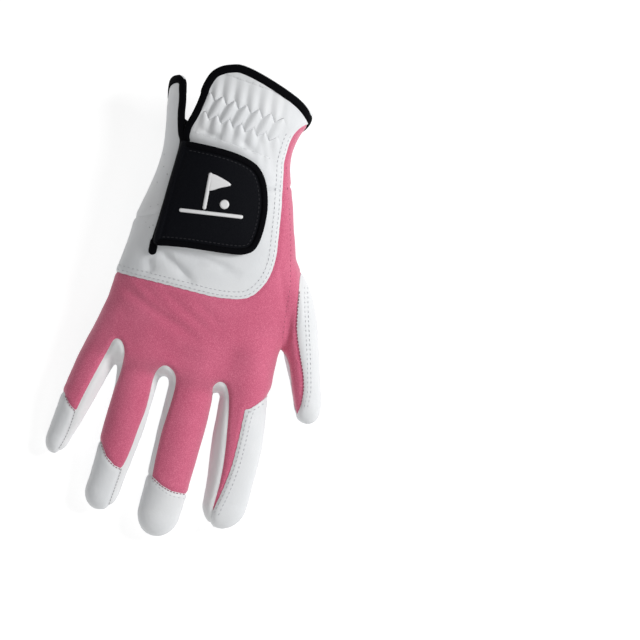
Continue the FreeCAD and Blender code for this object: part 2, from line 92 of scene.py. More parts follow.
def inside(area, p):
    """Distance to a closed outline, positive inside, for points seen from above."""
    a, b = area, np.roll(area, -1, 0)
    x, y = p[:, 0], p[:, 1]
    best = np.full(len(p), 1e9)
    within = np.zeros(len(p), bool)
    for (ax, ay), (bx, by) in zip(a, b):
        dx, dy = bx - ax, by - ay
        t = np.clip(((x - ax) * dx + (y - ay) * dy) / (dx * dx + dy * dy + 1e-12), 0, 1)
        best = np.minimum(best, (x - ax - t * dx) ** 2 + (y - ay - t * dy) ** 2)
        if dy:
            within ^= ((ay > y) != (by > y)) & (x < dx * (y - ay) / dy + ax)
    return np.where(within, 1, -1) * np.sqrt(best)


def offset_line(line, across):
    """A line seen from above, moved to its left."""
    run = np.gradient(line, axis=0)
    run /= np.linalg.norm(run, axis=1)[:, None] + 1e-9
    return line + np.stack([-run[:, 1], run[:, 0]], 1) * across


def wave(p, length, seed, turns=5):
    """Soft random waves of about one length, from -1 to 1."""
    rng = np.random.default_rng(seed)
    total = np.zeros(len(p))
    for _ in range(turns):
        d = rng.normal(size=3)
        d *= 2 * np.pi / (length * rng.uniform(0.7, 1.5) * np.linalg.norm(d))
        total += np.sin(p @ d + rng.uniform(0, 6.28))
    return total / turns


def quarter_round(d, radius):
    """Height of a rounded edge at distance d from it, from 0 to 1."""
    return np.sqrt(np.clip(1 - (1 - np.clip(d / radius, 0, 1)) ** 2, 0, 1))


# ---------------------------------------------------------------- the hand's shape

LEFT = through([(114, -3), (98, -5.4), (90, -6.5), (80, -7.1), (73, -7.7), (66, -9.2), (58, -12),
    (51, -15), (40, -20), (26, -25.2), (13.5, -30), (4, -33), (-6, -35.6), (-16, -39), (-26, -43.4),
    (-36, -48), (-48, -54)])
RIGHT = through([(114, 72), (96, 63), (84, 57.8), (79, 55.6), (75, 52.6), (69, 49.7), (62, 48.3),
    (53, 48.4), (45, 49), (33, 49.6), (25, 50.4), (13, 50), (0, 48.6), (-10, 46.2), (-20, 43),
    (-30, 39.8), (-48, 37.6)])
TOP = through([(112, 40), (96, 39), (80, 37), (64, 35.5), (48, 34), (30, 33), (13, 31.5), (-5, 29),
    (-25, 25), (-48, 20)])
FRONT = through([(-75, -1), (-60, -9), (-45, -16.5), (-29, -24), (-10, -31), (14, -37.5), (40, -40),
    (60, -42)])

# Digit: first hinge, angle from -Y, sideways bow, then (distance, width, height, middle height)
# at four places, and how long the round tip is.
DIGITS = {
    "little": ((-36.6, -20), 26.0, 0.0, ((-14, 12.5, 16, 11.6), (0, 15.4, 15.2, 10.6),
        (22, 14.6, 13, 9.6), (45, 10.2, 9.6, 5.3)), 8.2),
    "ring": ((-19.1, -28), 17.2, 0.8, ((-14, 18, 20, 12.6), (0, 18.6, 16.8, 11.6),
        (29, 17.4, 14.4, 10.3), (59, 14.6, 11.2, 6.1)), 9.4),
    "middle": ((4.3, -35), 14.4, 0.6, ((-14, 18.8, 21, 13), (0, 19.8, 17.6, 12), (31, 20, 15.4, 10.6),
        (62, 18.6, 12.2, 6.6)), 11),
    "index": ((28.1, -38), 10.2, 0.6, ((-14, 18.4, 21, 13), (0, 20, 18, 12), (27, 22.2, 16, 10.8),
        (54, 19, 12.4, 6.7)), 11),
    "thumb": ((47, 8), -9.3, 1.2, ((-12, 9, 12, 10), (0, 16, 17.4, 10), (36, 14.8, 14.5, 8),
        (54, 12.6, 11.4, 6.3)), 9.6),
}
FINGERS = ("little", "ring", "middle", "index")


def local(name, p):
    """Distance along a digit, sideways towards the thumb's side, and height."""
    (hx, hy), turn, bow, stations, tip = DIGITS[name]
    c, s = np.cos(np.radians(turn)), np.sin(np.radians(turn))
    x, y = p[:, 0] - hx, p[:, 1] - hy
    u = -s * x - c * y
    reach = stations[-1][0]
    v = c * x - s * y - bow * np.sin(np.pi * np.clip(u / reach, 0, 1.15))
    return u, v, p[:, 2]


def digit_sdf(name, p):
    stations, tip = DIGITS[name][3:]
    u, v, z = local(name, p)
    far, wide, high, mid = np.array(stations).T
    a = through(list(zip(far, wide)))(u) / 2
    b = through(list(zip(far, high)))(u) / 2
    m = through(list(zip(far, mid)))(u)
    over = np.maximum(u - far[-1], 0) / tip
    behind = np.maximum(far[0] - u, 0) / 8
    k = np.sqrt((v / a) ** 2 + ((z - m) / b) ** 2 + over**2 + behind**2 + 1e-9)
    g = np.sqrt((v / a**2) ** 2 + ((z - m) / b**2) ** 2 + (over / tip) ** 2 + (behind / 8) ** 2
        + 1e-12) / k
    return (k - 1) / g


def hand_section(y):
    """Middle and half sizes of the hand across Y."""
    left, right, top = LEFT(y), RIGHT(y), TOP(y)
    return (left + right) / 2, (right - left) / 2, top / 2


def hand_sdf(p):
    c, a, b = hand_section(p[:, 1])
    x, z = (p[:, 0] - c), p[:, 2] - b
    k = np.sqrt((x / a) ** 2 + (z / b) ** 2 + 1e-9)
    g = np.sqrt((x / a**2) ** 2 + (z / b**2) ** 2 + 1e-12) / k
    body = (k - 1) / g
    front = FRONT(p[:, 0]) - 0.5 - p[:, 1]
    return soft_max(body, front, 7.0)


def soft_min(a, b, k):
    h = np.maximum(k - np.abs(a - b), 0) / k
    return np.minimum(a, b) - h * h * k / 4


def soft_max(a, b, k):
    return -soft_min(-a, -b, k)


def glove_sdf(p):
    fingers = None
    for name in FINGERS:
        d = digit_sdf(name, p)
        fingers = d if fingers is None else soft_min(fingers, d, 5.4)
    body = soft_min(hand_sdf(p), fingers, 6.0)
    body = soft_min(body, digit_sdf("thumb", p), 5.0)
    return soft_max(body, 0.3 - p[:, 2], 1.5)


def surface_nets(step):
    """Triangles of the zero level of glove_sdf."""
    lo, hi = np.array([-68, -112, -3.0]), np.array([78, 113, 44.0])
    n = np.ceil((hi - lo) / step).astype(int)
    axes = [lo[k] + step * np.arange(n[k]) for k in range(3)]
    grid = np.stack(np.meshgrid(*axes, indexing="ij"), -1).reshape(-1, 3)
    f = np.concatenate([glove_sdf(part) for part in np.array_split(grid, 24)]).reshape(n)
    neg = f < 0
    count = np.zeros(n - 1)
    total = np.zeros((*(n - 1), 3))
    corner = [np.array(c) for c in np.ndindex(2, 2, 2)]
    for k in range(3):
        for c in corner:
            if c[k]:
                continue
            d = c.copy()
            d[k] = 1
            cut = [tuple(slice(q[j], q[j] + n[j] - 1) for j in range(3)) for q in (c, d)]
            a, b = f[cut[0]], f[cut[1]]
            cross = (a < 0) != (b < 0)
            t = np.where(cross, a / np.where(cross, a - b, 1), 0)
            spot = np.broadcast_to(c.astype(float), (*a.shape, 3)).copy()
            spot[..., k] += t
            total += np.where(cross[..., None], spot, 0)
            count += cross
    used = count > 0
    index = np.full(n - 1, -1)
    index[used] = np.arange(used.sum())
    cells = np.argwhere(used)
    verts = lo + step * (cells + total[used] / count[used][:, None])
    quads = []
    for k in range(3):
        i, j = [(1, 2), (2, 0), (0, 1)][k]
        a, b = [slice(1, -1)] * 3, [slice(1, -1)] * 3
        a[k], b[k] = slice(0, -1), slice(1, None)
        flip = neg[tuple(a)] != neg[tuple(b)]
        at = np.argwhere(flip) + np.array([0 if q == k else 1 for q in range(3)])
        ei, ej = np.eye(3, dtype=int)[i], np.eye(3, dtype=int)[j]
        ring = [index[tuple((at - o).T)] for o in (0 * ei, ei, ei + ej, ej)]
        quad = np.stack(ring, 1)
        out = neg[tuple(at.T)]
        quad[~out] = quad[~out][:, ::-1]
        quads.append(quad[(quad >= 0).all(1)])
    quads = np.vstack(quads)
    tris = np.vstack([quads[:, [0, 1, 2]], quads[:, [0, 2, 3]]])
    return verts, tris


def slope_of(p, step=0.05):
    g = np.stack([(glove_sdf(p + e) - glove_sdf(p - e)) / (2 * step) for e in np.eye(3) * step], 1)
    return g / (np.linalg.norm(g, axis=1)[:, None] + 1e-12), np.linalg.norm(g, axis=1)


def settle(p, rounds=3):
    """Moves points onto the surface."""
    for _ in range(rounds):
        n, size = slope_of(p)
        p = p - n * np.clip(glove_sdf(p) / np.maximum(size, 0.4), -1, 1)[:, None]
    return p


def vertex_normals(p, tris):
    face = np.cross(p[tris[:, 1]] - p[tris[:, 0]], p[tris[:, 2]] - p[tris[:, 0]])
    out = np.zeros_like(p)
    for k in range(3):
        for j in range(3):
            out[:, j] += np.bincount(tris[:, k], face[:, j], len(p))
    return out / (np.linalg.norm(out, axis=1)[:, None] + 1e-12)


def cut_edges(p, tris, a, b, t):
    """Puts a point on each edge a-b (a below b) at share t and divides the triangles there."""
    key = a * (len(p) + 1) + b
    order = np.argsort(key)
    key = key[order]
    start = len(p)
    p = np.vstack([p, (p[a] + t[:, None] * (p[b] - p[a]))[order]])

    def mid(i, j):
        k = np.minimum(i, j) * (start + 1) + np.maximum(i, j)
        at = np.clip(np.searchsorted(key, k), 0, len(key) - 1)
        return np.where(key[at] == k, start + at, -1)

    m = np.stack([mid(tris[:, k], tris[:, (k + 1) % 3]) for k in range(3)], 1)
    crossed = (m >= 0).sum(1)
    parts = [tris[crossed == 0]]
    c, q = tris[crossed == 3], m[crossed == 3]
    parts += [np.stack([c[:, k], q[:, k], q[:, (k + 2) % 3]], 1) for k in range(3)] + [q]
    for count, pick in ((1, np.argmax), (2, np.argmin)):
        c, q = tris[crossed == count], m[crossed == count]
        k, r = pick(q, 1), np.arange(len(c))
        i, j, o = (c[r, (k + n) % 3] for n in range(3))
        q0, q1, q2 = (q[r, (k + n) % 3] for n in range(3))
        if count == 1:
            parts += [np.stack([i, q0, o], 1), np.stack([q0, j, o], 1)]
        else:
            parts += [np.stack([o, q2, q1], 1), np.stack([i, j, q1], 1), np.stack([i, q1, q2], 1)]
    return p, np.vstack(parts)


def edges_of(tris):
    edges = np.vstack([tris[:, [0, 1]], tris[:, [1, 2]], tris[:, [2, 0]]])
    return np.unique(np.sort(edges, 1), axis=0).T


def split(p, tris, field):
    """Cuts triangles where field(points) changes sign, so that every triangle is on one side."""
    f = field(p)
    f[np.abs(f) < 0.04] = 0
    a, b = edges_of(tris)
    crossing = f[a] * f[b] < 0
    a, b = a[crossing], b[crossing]
    return cut_edges(p, tris, a, b, f[a] / (f[a] - f[b])) if len(a) else (p, tris)


def refine(p, tris, where):
    """Halves the edges of the triangles whose middle is in where(points)."""
    a, b = edges_of(tris[where(p[tris].mean(1))])
    return cut_edges(p, tris, a, b, np.full(len(a), 0.5))


# ---------------------------------------------------------------- panels, seen from above

YOKE_EDGE = round_off([(-44, 17.6), (-36, 15.2), (-30, 13.5), (-25, 12), (-15, 9.5), (-5, 7), (5, 4.4),
    (14, 2.2), (24, 1), (30, 2), (34.6, 5.2), (38.4, 10), (41, 16), (42.2, 22), (43.2, 32), (44.2, 42),
    (45, 52), (45.4, 58), (45.6, 62), (46.6, 66.5), (48.3, 72), (51, 76.4), (55.5, 79.6), (62, 82)])
YOKE = np.vstack([YOKE_EDGE, [(90, 82), (90, 125), (-60, 125), (-60, 17.6)]])

PINK = np.vstack([
    round_off([(-60, 30), (-70, 0), (-66, -38), (-60, -41.5), (-54, -40.6)]),
    round_off([(-53.4, -42.4), (-51.4, -46), (-49.2, -48.6)]),
    round_off([(-48.2, -49), (-45, -42.4), (-41, -34.8), (-36.4, -26.4), (-33.2, -20.6), (-31.6, -17.6),
        (-30, -16.6), (-28.2, -17.2), (-26.9, -19.4), (-26.4, -23.4), (-28, -29.6), (-30.6, -37),
        (-34.2, -46), (-37.4, -55), (-39.6, -61), (-38.6, -61.6)]),
    round_off([(-37.2, -63.6), (-34.8, -69.6), (-31.2, -73.8), (-28.4, -75.3)]),
    round_off([(-27.6, -74.9), (-25.8, -71.8), (-23, -65.4), (-20, -57), (-16.4, -48), (-14.4, -40),
        (-13, -34.4), (-11.2, -30.8), (-8.4, -29), (-5.6, -30.2), (-3.7, -33.2), (-3.7, -37.6),
        (-5.4, -44.6), (-8, -53), (-10.4, -61), (-12.6, -70), (-14.4, -78.4)]),
    round_off([(-13.9, -79.4), (-10, -82.8), (-5, -85.6), (0.4, -86.8), (4, -86.4)]),
    round_off([(6.5, -80), (10.5, -66), (13.4, -55), (14.4, -47), (13.4, -41.4), (13.6, -38.6),
        (15.2, -36.8), (17.2, -36.2), (19.2, -37.6), (20.2, -41), (20.5, -46), (20, -55), (18.5, -70),
        (16.2, -82.6), (14.2, -90), (13.1, -94.6)]),
    round_off([(13.4, -94.8), (15, -91), (18.2, -84), (22, -74), (25, -62.6), (27, -53.4),
        (28, -48.9)]),
    round_off([(28.4, -48.6), (30.4, -48.3), (34, -46), (37.5, -43.4), (39.4, -41), (42, -38.6)]),
    round_off([(43.4, -34), (43.2, -28), (43.4, -24.6), (44.4, -23.2), (45.6, -23.6), (46.9, -26.4),
        (47.8, -31), (48.3, -37), (48.9, -43), (49.8, -47.6), (51, -50.8)]),
    round_off([(51.3, -50.8), (53, -46.4), (54.1, -40), (53.9, -32.6), (52.7, -25), (51.6, -17.6),
        (51.1, -12), (51.4, -5), (52.2, 4), (53, 11), (54, 16), (56.4, 19.4), (66, 24)]),
    [(90, 30), (90, 60)],
])
CAPS = {
    "little": np.array([(-66, -38), (-54, -40.6), (-53.4, -42.4), (-51.4, -46), (-48.8, -49.4),
        (-51, -56), (-54, -62.6), (-56.6, -68), (-57, -76), (-72, -72)]),
    "ring": np.array([(-43, -60), (-38.6, -61.6), (-37.2, -63.6), (-34.8, -69.6), (-31.2, -73.8),
        (-28, -75.4), (-29.8, -81), (-33.6, -91), (-35.4, -97), (-48, -100), (-50, -75)]),
    "middle": np.array([(-18.6, -77), (-14.4, -78.6), (-10, -82.8), (-5, -85.6), (0.4, -86.8),
        (6, -86.4), (8, -100), (2, -112), (-28, -112), (-26, -84), (-20, -79)]),
}
PATCH = np.vstack([
    round_off([(13.2, -94.8), (15, -91), (18.2, -84), (22, -74), (25, -62.6), (27, -53.4),
        (28, -48.8)]),
    round_off([(28.4, -48.5), (30.4, -48.2), (34, -46), (37.5, -43.4), (39.4, -41), (44, -38)]),
    [(50, -60), (40, -112), (14, -112), (12.6, -100)],
])
THUMB_WHITE = np.vstack([
    round_off([(51, -51.6), (53, -46.4), (54.1, -40), (53.9, -32.6), (52.7, -25), (51.6, -17.6),
        (51.1, -12), (51.4, -5), (52.2, 4), (53, 11), (54, 16), (56.4, 19.4), (66, 24)]),
    [(80, 20), (80, -70), (50, -66)],
])


def bowed(start, end, bow, count=5):
    """A shallow arc from start to end that swells by bow to the right of its way."""
    a, b = np.array(start, float), np.array(end, float)
    t = np.linspace(0, 1, count)[:, None]
    side = np.array([b[1] - a[1], a[0] - b[0]]) / np.hypot(*(b - a))
    return a + (b - a) * t + 4 * bow * t * (1 - t) * side


# The slit leans up along the tab's side to its throat and opens like a V from there to the cuff.
# Its two edges lie under the middle of the tapes that bind them.
THROAT_LITTLE, THROAT_THUMB = (0.5, 71), (2, 71)
FORK = (3.5, 79.5)  # where the thumb side starts to lean out
V_LITTLE, V_THUMB = (0, 90), (11, 96)
TAPE_LITTLE = np.vstack([bowed((-13, 25), THROAT_LITTLE, 0.4),
    bowed(THROAT_LITTLE, V_LITTLE, -0.8)[1:], [(0, 97)]])[::-1]
TAPE_THUMB = np.vstack([bowed((-10.5, 28), THROAT_THUMB, 1), bowed(THROAT_THUMB, FORK, -0.6)[1:],
    bowed(FORK, V_THUMB, 0.6)[1:]])[::-1]
SLIT_LITTLE = round_off(np.vstack([bowed((-13.5, 22), THROAT_LITTLE, 0.8), [(0.5, 83), (1, 90), (1, 106)]]))
SLIT_THUMB = round_off(np.vstack([bowed((-12.8, 22), (1.3, 70), 0.8), bowed((2.6, 78.5), (9.8, 96), 0.5),
    [(10.5, 106)]]))
SLIT = np.vstack([SLIT_LITTLE, SLIT_THUMB[::-1]])
RIM_BACK = round_off([(10.2, 95.6), (11.9, 101), (15.6, 104.4), (22, 106), (27.4, 105.7), (35, 102.3),
    (45, 96.2), (52, 91.2), (56.6, 86.4), (58.6, 83), (60, 80.6)])
RIM_STRIP = round_off([(-9, 99), (-5, 100), (-1.6, 101.6), (0.6, 100.6), (1.2, 98)])
RIM_PALM = through([(-9, 99), (-4, 94), (-1.6, 84), (0.5, 76), (4, 72.6), (10, 70.6), (20, 69.4),
    (34, 69.8), (46, 72.6), (54, 77), (60, 80.6), (64, 82.4)])

SIDE = 0.18  # how far round the side the back panels reach, as the drop of the normal


def back_rim_area():
    return np.vstack([RIM_BACK, [(70, 80), (90, -140), (-90, -140), (-90, 99)], RIM_STRIP, [(1.2, 97),
        (1.2, 90), (8, 90)]])


# ---------------------------------------------------------------- relief of the surface

PITCH = 5.7  # one zigzag of the stitching over the elastic bands
RISE = 3.0
ZIG_START = (19.9, 87.9)
ZIG_RUN = (0.943, -0.334)
LOWER_ROW = -8.7  # the lower row, from the upper one
LOWER_SHIFT = 0.35


def row_frame(p):
    """Distance along the elastic rows, and from the upper row towards the cuff."""
    x, y = p[:, 0] - ZIG_START[0], p[:, 1] - ZIG_START[1]
    c, s = ZIG_RUN
    return c * x + s * y, c * y - s * x


def zig_upper(s):
    return RISE * (1 - np.abs(2 * ((s / PITCH) % 1) - 1))


def zig_lower(s):
    return LOWER_ROW + RISE * (1 - np.abs(2 * (((s - LOWER_SHIFT) / PITCH) % 1) - 1))


def elastic_area(p):
    s, q = row_frame(p)
    return (s > -11) & (s < 30) & (q > -16) & (q < 13) & (p[:, 2] > TOP(p[:, 1]) * 0.55)


def pucker(p):
    """Gathered leather round the two zigzag rows."""
    s, q = row_frame(p)
    above, below = q - zig_upper(s), q - zig_lower(s)

    def ridge(at):
        return (0.5 + 0.5 * np.cos(2 * np.pi * at / PITCH)) ** 0.85

    def rise(d, reach):
        return 1 - np.exp(-((np.maximum(d, 0) / reach) ** 1.2))

    cuff = ridge(s + 0.17 * q) * rise(above, 1.3) * np.exp(-((np.maximum(q, 0) / 10.5) ** 2))
    middle = ridge(s - PITCH / 2 - 0.14 * (q - RISE)) * np.minimum(rise(-above, 1.1), rise(below, 1.1))
    hand = ridge(s - LOWER_SHIFT - PITCH / 2 + 0.1 * q) * rise(-below,
        1.2) * np.exp(-((np.minimum(q + 8, 0) / 6.5) ** 2))
    ends = np.clip((s + 10.5) / 4, 0, 1) * np.clip((29 - s) / 7, 0, 1)
    crease = np.exp(-((above / 0.5) ** 2)) + np.exp(-((below / 0.5) ** 2))
    return ends * (1.1 * np.where(above > 0, cuff * 0.85, np.where(below > 0, middle, hand * 0.85))
        - 0.45 - 0.3 * crease * ends)


def fold(p, a, b, width, depth):
    """A soft valley from a to b that fades at its ends."""
    a, b = np.array(a, float), np.array(b, float)
    d = b - a
    t = ((p[:, :2] - a) @ d) / (d @ d)
    off = np.abs((p[:, 0] - a[0]) * -d[1] + (p[:, 1] - a[1]) * d[0]) / np.hypot(*d)
    fade = np.clip(np.minimum(t, 1 - t) * 3 + 0.35, 0, 1)
    return -depth * np.exp(-((off / width) ** 2)) * fade


def relief(p, n):
    """Height of wrinkles, puckers and puffiness over the smooth hand."""
    up = np.clip(n[:, 2] * 1.6, 0, 1)
    yoke = inside(YOKE, p)
    leather = 1 / (1 + np.exp(-yoke / 0.8))
    h = 0.32 * wave(p, 34, 3) + 0.10 * wave(p, 11, 4)
    near = elastic_area(p) & (up > 0.2)
    h[near] += (leather * up)[near] * pucker(p[near])
    for a, b, w, d in (
        ((-11, 23.5), (4, 9), 2.1, 1.5), ((0, 23.5), (24, 12.5), 2.3, 1.5), ((-4, 23), (10, 16),
            1.5, 0.6), ((-16, 20), (-14, 13), 2.4, 0.9),
        ((8, 76.5), (17, 73.4), 1.8, 1.0), ((26, 73), (33, 65.5), 1.8, 0.7), ((36, 74), (36.5, 60),
            1.7, 0.6),
        ((40, 72), (40, 58), 1.6, 0.4), ((-30, 9), (0, -14), 2.2, 0.8), ((-19, 7), (6, -17),
            2.2, 0.8), ((-24, 10), (2, -12), 1.8, -0.5),
        ((-8, 4), (12, -14), 2.2, 0.55), ((6, 0), (18, -12), 2, 0.4), ((-30, 6), (-36, -16),
            3, 0.3), ((44, 16), (47.6, -14), 1.5, 0.6),
        ((49.6, -2), (46.6, -20), 1.3, 0.8), ((-10, -21), (8, -27), 3.4, 0.35), ((-12, 40), (-20, 20),
            2.4, 0.35),
    ):
        h += fold(p, a, b, w, d) * up
    return h


def groove(distance, width=0.75, depth=0.42):
    return -depth * np.exp(-((distance / width) ** 2)) + 0.14 * np.exp(-(((distance - 2.0) / 1.3) ** 2))


# ---------------------------------------------------------------- materials


def material(name, base, rough, build=None, sheen=0.0, specular=0.5, glow=0.0):
    m = bpy.data.materials.new(name)
    m.use_nodes = True
    nodes, links = m.node_tree.nodes, m.node_tree.links
    shader = nodes["Principled BSDF"]
    shader.inputs["Base Color"].default_value = (*base, 1)
    shader.inputs["Roughness"].default_value = rough
    shader.inputs["Sheen Weight"].default_value = sheen
    shader.inputs["Specular IOR Level"].default_value = specular
    shader.inputs["Emission Color"].default_value = (1, 1, 1, 1)
    shader.inputs["Emission Strength"].default_value = glow
    place = nodes.new("ShaderNodeTexCoord").outputs["Object"]

    def noise(scale, detail=4.0, kind="ShaderNodeTexNoise"):
        node = nodes.new(kind)
        node.inputs["Scale"].default_value = scale
        if "Detail" in node.inputs:
            node.inputs["Detail"].default_value = detail
        links.new(place, node.inputs["Vector"])
        return node.outputs[0]

    def ramp(source, *stops):
        node = nodes.new("ShaderNodeValToRGB")
        marks = node.color_ramp.elements
        marks[0].position, marks[1].position = stops[0][0], stops[-1][0]
        for at, _ in stops[1:-1]:
            marks.new(at)
        for mark, (_, colour) in zip(marks, stops):
            mark.color = (*colour, 1)
        links.new(source, node.inputs[0])
        return node.outputs[0]

    def mix(a, b, share, mode="MIX"):
        node = nodes.new("ShaderNodeMix")
        node.data_type, node.blend_type = "RGBA", mode
        node.inputs[0].default_value = share
        links.new(a, node.inputs[6])
        links.new(b, node.inputs[7])
        return node.outputs[2]

    def bump(source, strength, distance, under=None):
        node = nodes.new("ShaderNodeBump")
        node.inputs["Strength"].default_value = strength
        node.inputs["Distance"].default_value = distance
        links.new(source, node.inputs["Height"])
        if under is not None:
            links.new(under, node.inputs["Normal"])
        return node.outputs[0]

    if build:
        build(shader, links, noise, ramp, mix, bump)
    return m


def pink_build(shader, links, noise, ramp, mix, bump):
    # The fine speckle is random fibre tone, and its brightest speckles are painted glints of the fibres.
    fine = noise(2500, 3)
    fibre_tone_and_glints = ramp(fine, (0.32, (0.44, 0.07, 0.14)), (0.5, (0.59, 0.118, 0.212)),
        (0.66, (0.80, 0.25, 0.35)))
    broad = ramp(noise(45, 2), (0.35, (0.55, 0.097, 0.185)), (0.65, (0.63, 0.135, 0.235)))
    links.new(mix(fibre_tone_and_glints, broad, 0.5), shader.inputs["Base Color"])
    links.new(bump(noise(1900, 3), 0.35, 0.0003, bump(noise(180, 4), 0.2, 0.0004)),
        shader.inputs["Normal"])


def leather_build(low, high):
    def build(shader, links, noise, ramp, mix, bump):
        broad = ramp(noise(38, 3), (0.3, low), (0.7, high))
        pores = ramp(noise(1300, 2, "ShaderNodeTexVoronoi"), (0.0, tuple(0.86 * c for c in low)),
            (0.35, high))
        links.new(mix(broad, pores, 0.3), shader.inputs["Base Color"])
        fine = bump(noise(1700, 4), 0.22, 0.0002)
        links.new(bump(noise(210, 5), 0.22, 0.0006, fine), shader.inputs["Normal"])
    return build


def weave_build(dark, light, scale):
    def build(shader, links, noise, ramp, mix, bump):
        links.new(ramp(noise(scale, 2, "ShaderNodeTexVoronoi"), (0.1, light), (0.6, dark)),
            shader.inputs["Base Color"])
        links.new(bump(noise(scale, 2, "ShaderNodeTexVoronoi"), 0.5, 0.0003, bump(noise(260, 3),
            0.2, 0.0005)), shader.inputs["Normal"])
    return build


PINK_CLOTH = material("pink_microfibre", (0.6, 0.14, 0.23), 0.82, pink_build, sheen=0.4, specular=0.25)
WHITE = material("white_leather", (0.7, 0.7, 0.7), 0.52, leather_build((0.66, 0.68, 0.70),
    (0.74, 0.75, 0.76)))
WHITE_SOFT = material("white_stretch", (0.7, 0.7, 0.7), 0.75, leather_build((0.70, 0.71, 0.72),
    (0.78, 0.785, 0.79)))
TAPE = material("black_tape", (0.008, 0.008, 0.01), 0.85, weave_build((0.002, 0.002, 0.003),
    (0.007, 0.007, 0.0095), 1300), specular=0.05)
TAB = material("black_tab", (0.006, 0.007, 0.011), 0.6, weave_build((0.0022, 0.0026, 0.0045),
    (0.005, 0.0056, 0.009), 1900), specular=0.07)
HOOKS = material("hook_and_loop", (0.01, 0.01, 0.012), 0.9, weave_build((0.006, 0.006, 0.008),
    (0.03, 0.03, 0.035), 900))
RUBBER = material("white_rubber", (0.72, 0.72, 0.73), 0.42, leather_build((0.66, 0.66, 0.67),
    (0.78, 0.78, 0.79)))
THREAD = material("white_thread", (0.62, 0.63, 0.64), 0.7, weave_build((0.52, 0.53, 0.55),
    (0.7, 0.71, 0.73), 2600))
# Grey thread, also used for the grey dots of painted shade that stand for the insides of the air holes.
GREY_THREAD_AND_HOLE_SHADE = material("grey_thread_and_hole_shade", (0.4, 0.4, 0.41), 0.7, weave_build((0.34, 0.34, 0.35),
    (0.46, 0.46, 0.47), 2600))
DARK_THREAD = material("dark_thread", (0.02, 0.02, 0.024), 0.7, weave_build((0.012, 0.012, 0.016),
    (0.03, 0.03, 0.036), 2600))
SEAM_THREAD = material("rose_thread", (0.2, 0.05, 0.08), 0.8, weave_build((0.26, 0.06, 0.1),
    (0.42, 0.12, 0.18), 2600))
BAND = material("elastic_weave", (0.7, 0.7, 0.7), 0.85, weave_build((0.5, 0.5, 0.5), (0.74, 0.74, 0.74),
    1100))

# ---------------------------------------------------------------- making pieces


def piece(name, chunks, node_names=(), body=None, blend=None):
    """One object from chunks of (points in mm, faces, normals or None, material)."""
    verts, faces, mats, normals, which = [], [], [], [], []
    base = 0
    for p, f, n, m in chunks:
        if not len(p):
            continue
        if m not in mats:
            mats.append(m)
        verts.append(p / 1000)
        faces += (np.asarray(f) + base).tolist() if isinstance(f, np.ndarray) else [[i + base
            for i in q] for q in f]
        which += [mats.index(m)] * len(f)
        normals.append(n if n is not None else np.zeros_like(p))
        base += len(p)
    verts, normals = np.vstack(verts), np.vstack(normals)
    mesh = bpy.data.meshes.new(name)
    mesh.from_pydata(verts.tolist(), [], faces)
    mesh.polygons.foreach_set("material_index", which)
    mesh.polygons.foreach_set("use_smooth", [True] * len(faces))
    for m in mats:
        mesh.materials.append(m)
    mesh.update()
    auto = np.array([v.vector[:] for v in mesh.vertex_normals])
    blank = np.linalg.norm(normals, axis=1) < 0.5
    normals[blank] = auto[blank]
    mesh.normals_split_custom_set_from_vertices(normals.tolist())
    obj = bpy.data.objects.new(name, mesh)
    bpy.context.scene.collection.objects.link(obj)
    if blend:
        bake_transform(obj)
    else:
        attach(obj, body or "hand")
    if node_names:
        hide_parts(*node_names)
    return obj


def thicken(p, n, tris, depth):
    """An outer skin with its inner side and its edges."""
    used, back = np.unique(tris, return_inverse=True)
    tris = back.reshape(tris.shape)
    p, n = p[used], n[used]
    inner = p - n * depth
    edges = np.vstack([tris[:, [0, 1]], tris[:, [1, 2]], tris[:, [2, 0]]])
    key = np.sort(edges, 1)
    _, first, count = np.unique(key, axis=0, return_index=True, return_counts=True)
    rim = edges[first[count == 1]]
    i, j = rim.T
    k = len(p)
    # The edge has its own points so that it is shaded on its own.
    lip = np.vstack([p, inner])
    wall = np.stack([j, i, i + k, j + k], 1)
    faces = tris.tolist() + (tris[:, ::-1] + k).tolist()
    outer = (np.vstack([p, inner]), faces, np.vstack([n, -n]))
    at, where = np.unique(wall, return_inverse=True)
    return outer, (lip[at], where.reshape(wall.shape).tolist(), None)


def surface_at(xy):
    """Points over the smooth hand at places seen from above, and normals there."""
    xy = np.asarray(xy, float)
    z = np.full(len(xy), 60.0)
    p = np.column_stack([xy, z])
    for _ in range(60):
        d = glove_sdf(p)
        p[:, 2] -= np.clip(d * 0.8, -0.5, 8)
        if np.abs(d).max() < 1e-3:
            break
    n, _ = slope_of(p)
    return p, n


def on_relief(xy, above=0.0):
    p, n = surface_at(xy)
    return p + n * (relief(p, n) + above)[:, None], n


CAPSULE_RINGS, CAPSULE_SIDES = 4, 6
CAPSULE_POINTS = (CAPSULE_RINGS + 1) * CAPSULE_SIDES


def capsules(points, tangents, normals, length, width, height):
    """Short threads lying along tangents."""
    rings, sides = CAPSULE_RINGS, CAPSULE_SIDES
    t = tangents / np.linalg.norm(tangents, axis=1)[:, None]
    n = normals - t * (normals * t).sum(1)[:, None]
    n /= np.linalg.norm(n, axis=1)[:, None]
    b = np.cross(t, n)
    verts, faces, norms = [], [], []
    for k in range(rings + 1):
        a = np.pi * k / rings
        for j in range(sides):
            w = 2 * np.pi * j / sides
            x, y, z = -np.cos(a) * length / 2, np.sin(a) * np.cos(w) * width / 2, np.sin(a) * np.sin(w) * height / 2
            verts.append(points + t * x + b * y + n * z)
            norms.append(-np.cos(a) * t * 0.3 + b * np.sin(a) * np.cos(w) + n * np.sin(a) * np.sin(w))
    per = CAPSULE_POINTS
    verts = np.stack(verts, 1).reshape(-1, 3)
    norms = np.stack(norms, 1).reshape(-1, 3)
    norms /= np.linalg.norm(norms, axis=1)[:, None] + 1e-9
    for k in range(rings):
        for j in range(sides):
            q = (j + 1) % sides
            faces.append((k * sides + j, (k + 1) * sides + j, (k + 1) * sides + q, k * sides + q))
    faces = (np.array(faces)[None] + per * np.arange(len(points))[:, None, None]).reshape(-1, 4)
    return verts, faces, norms


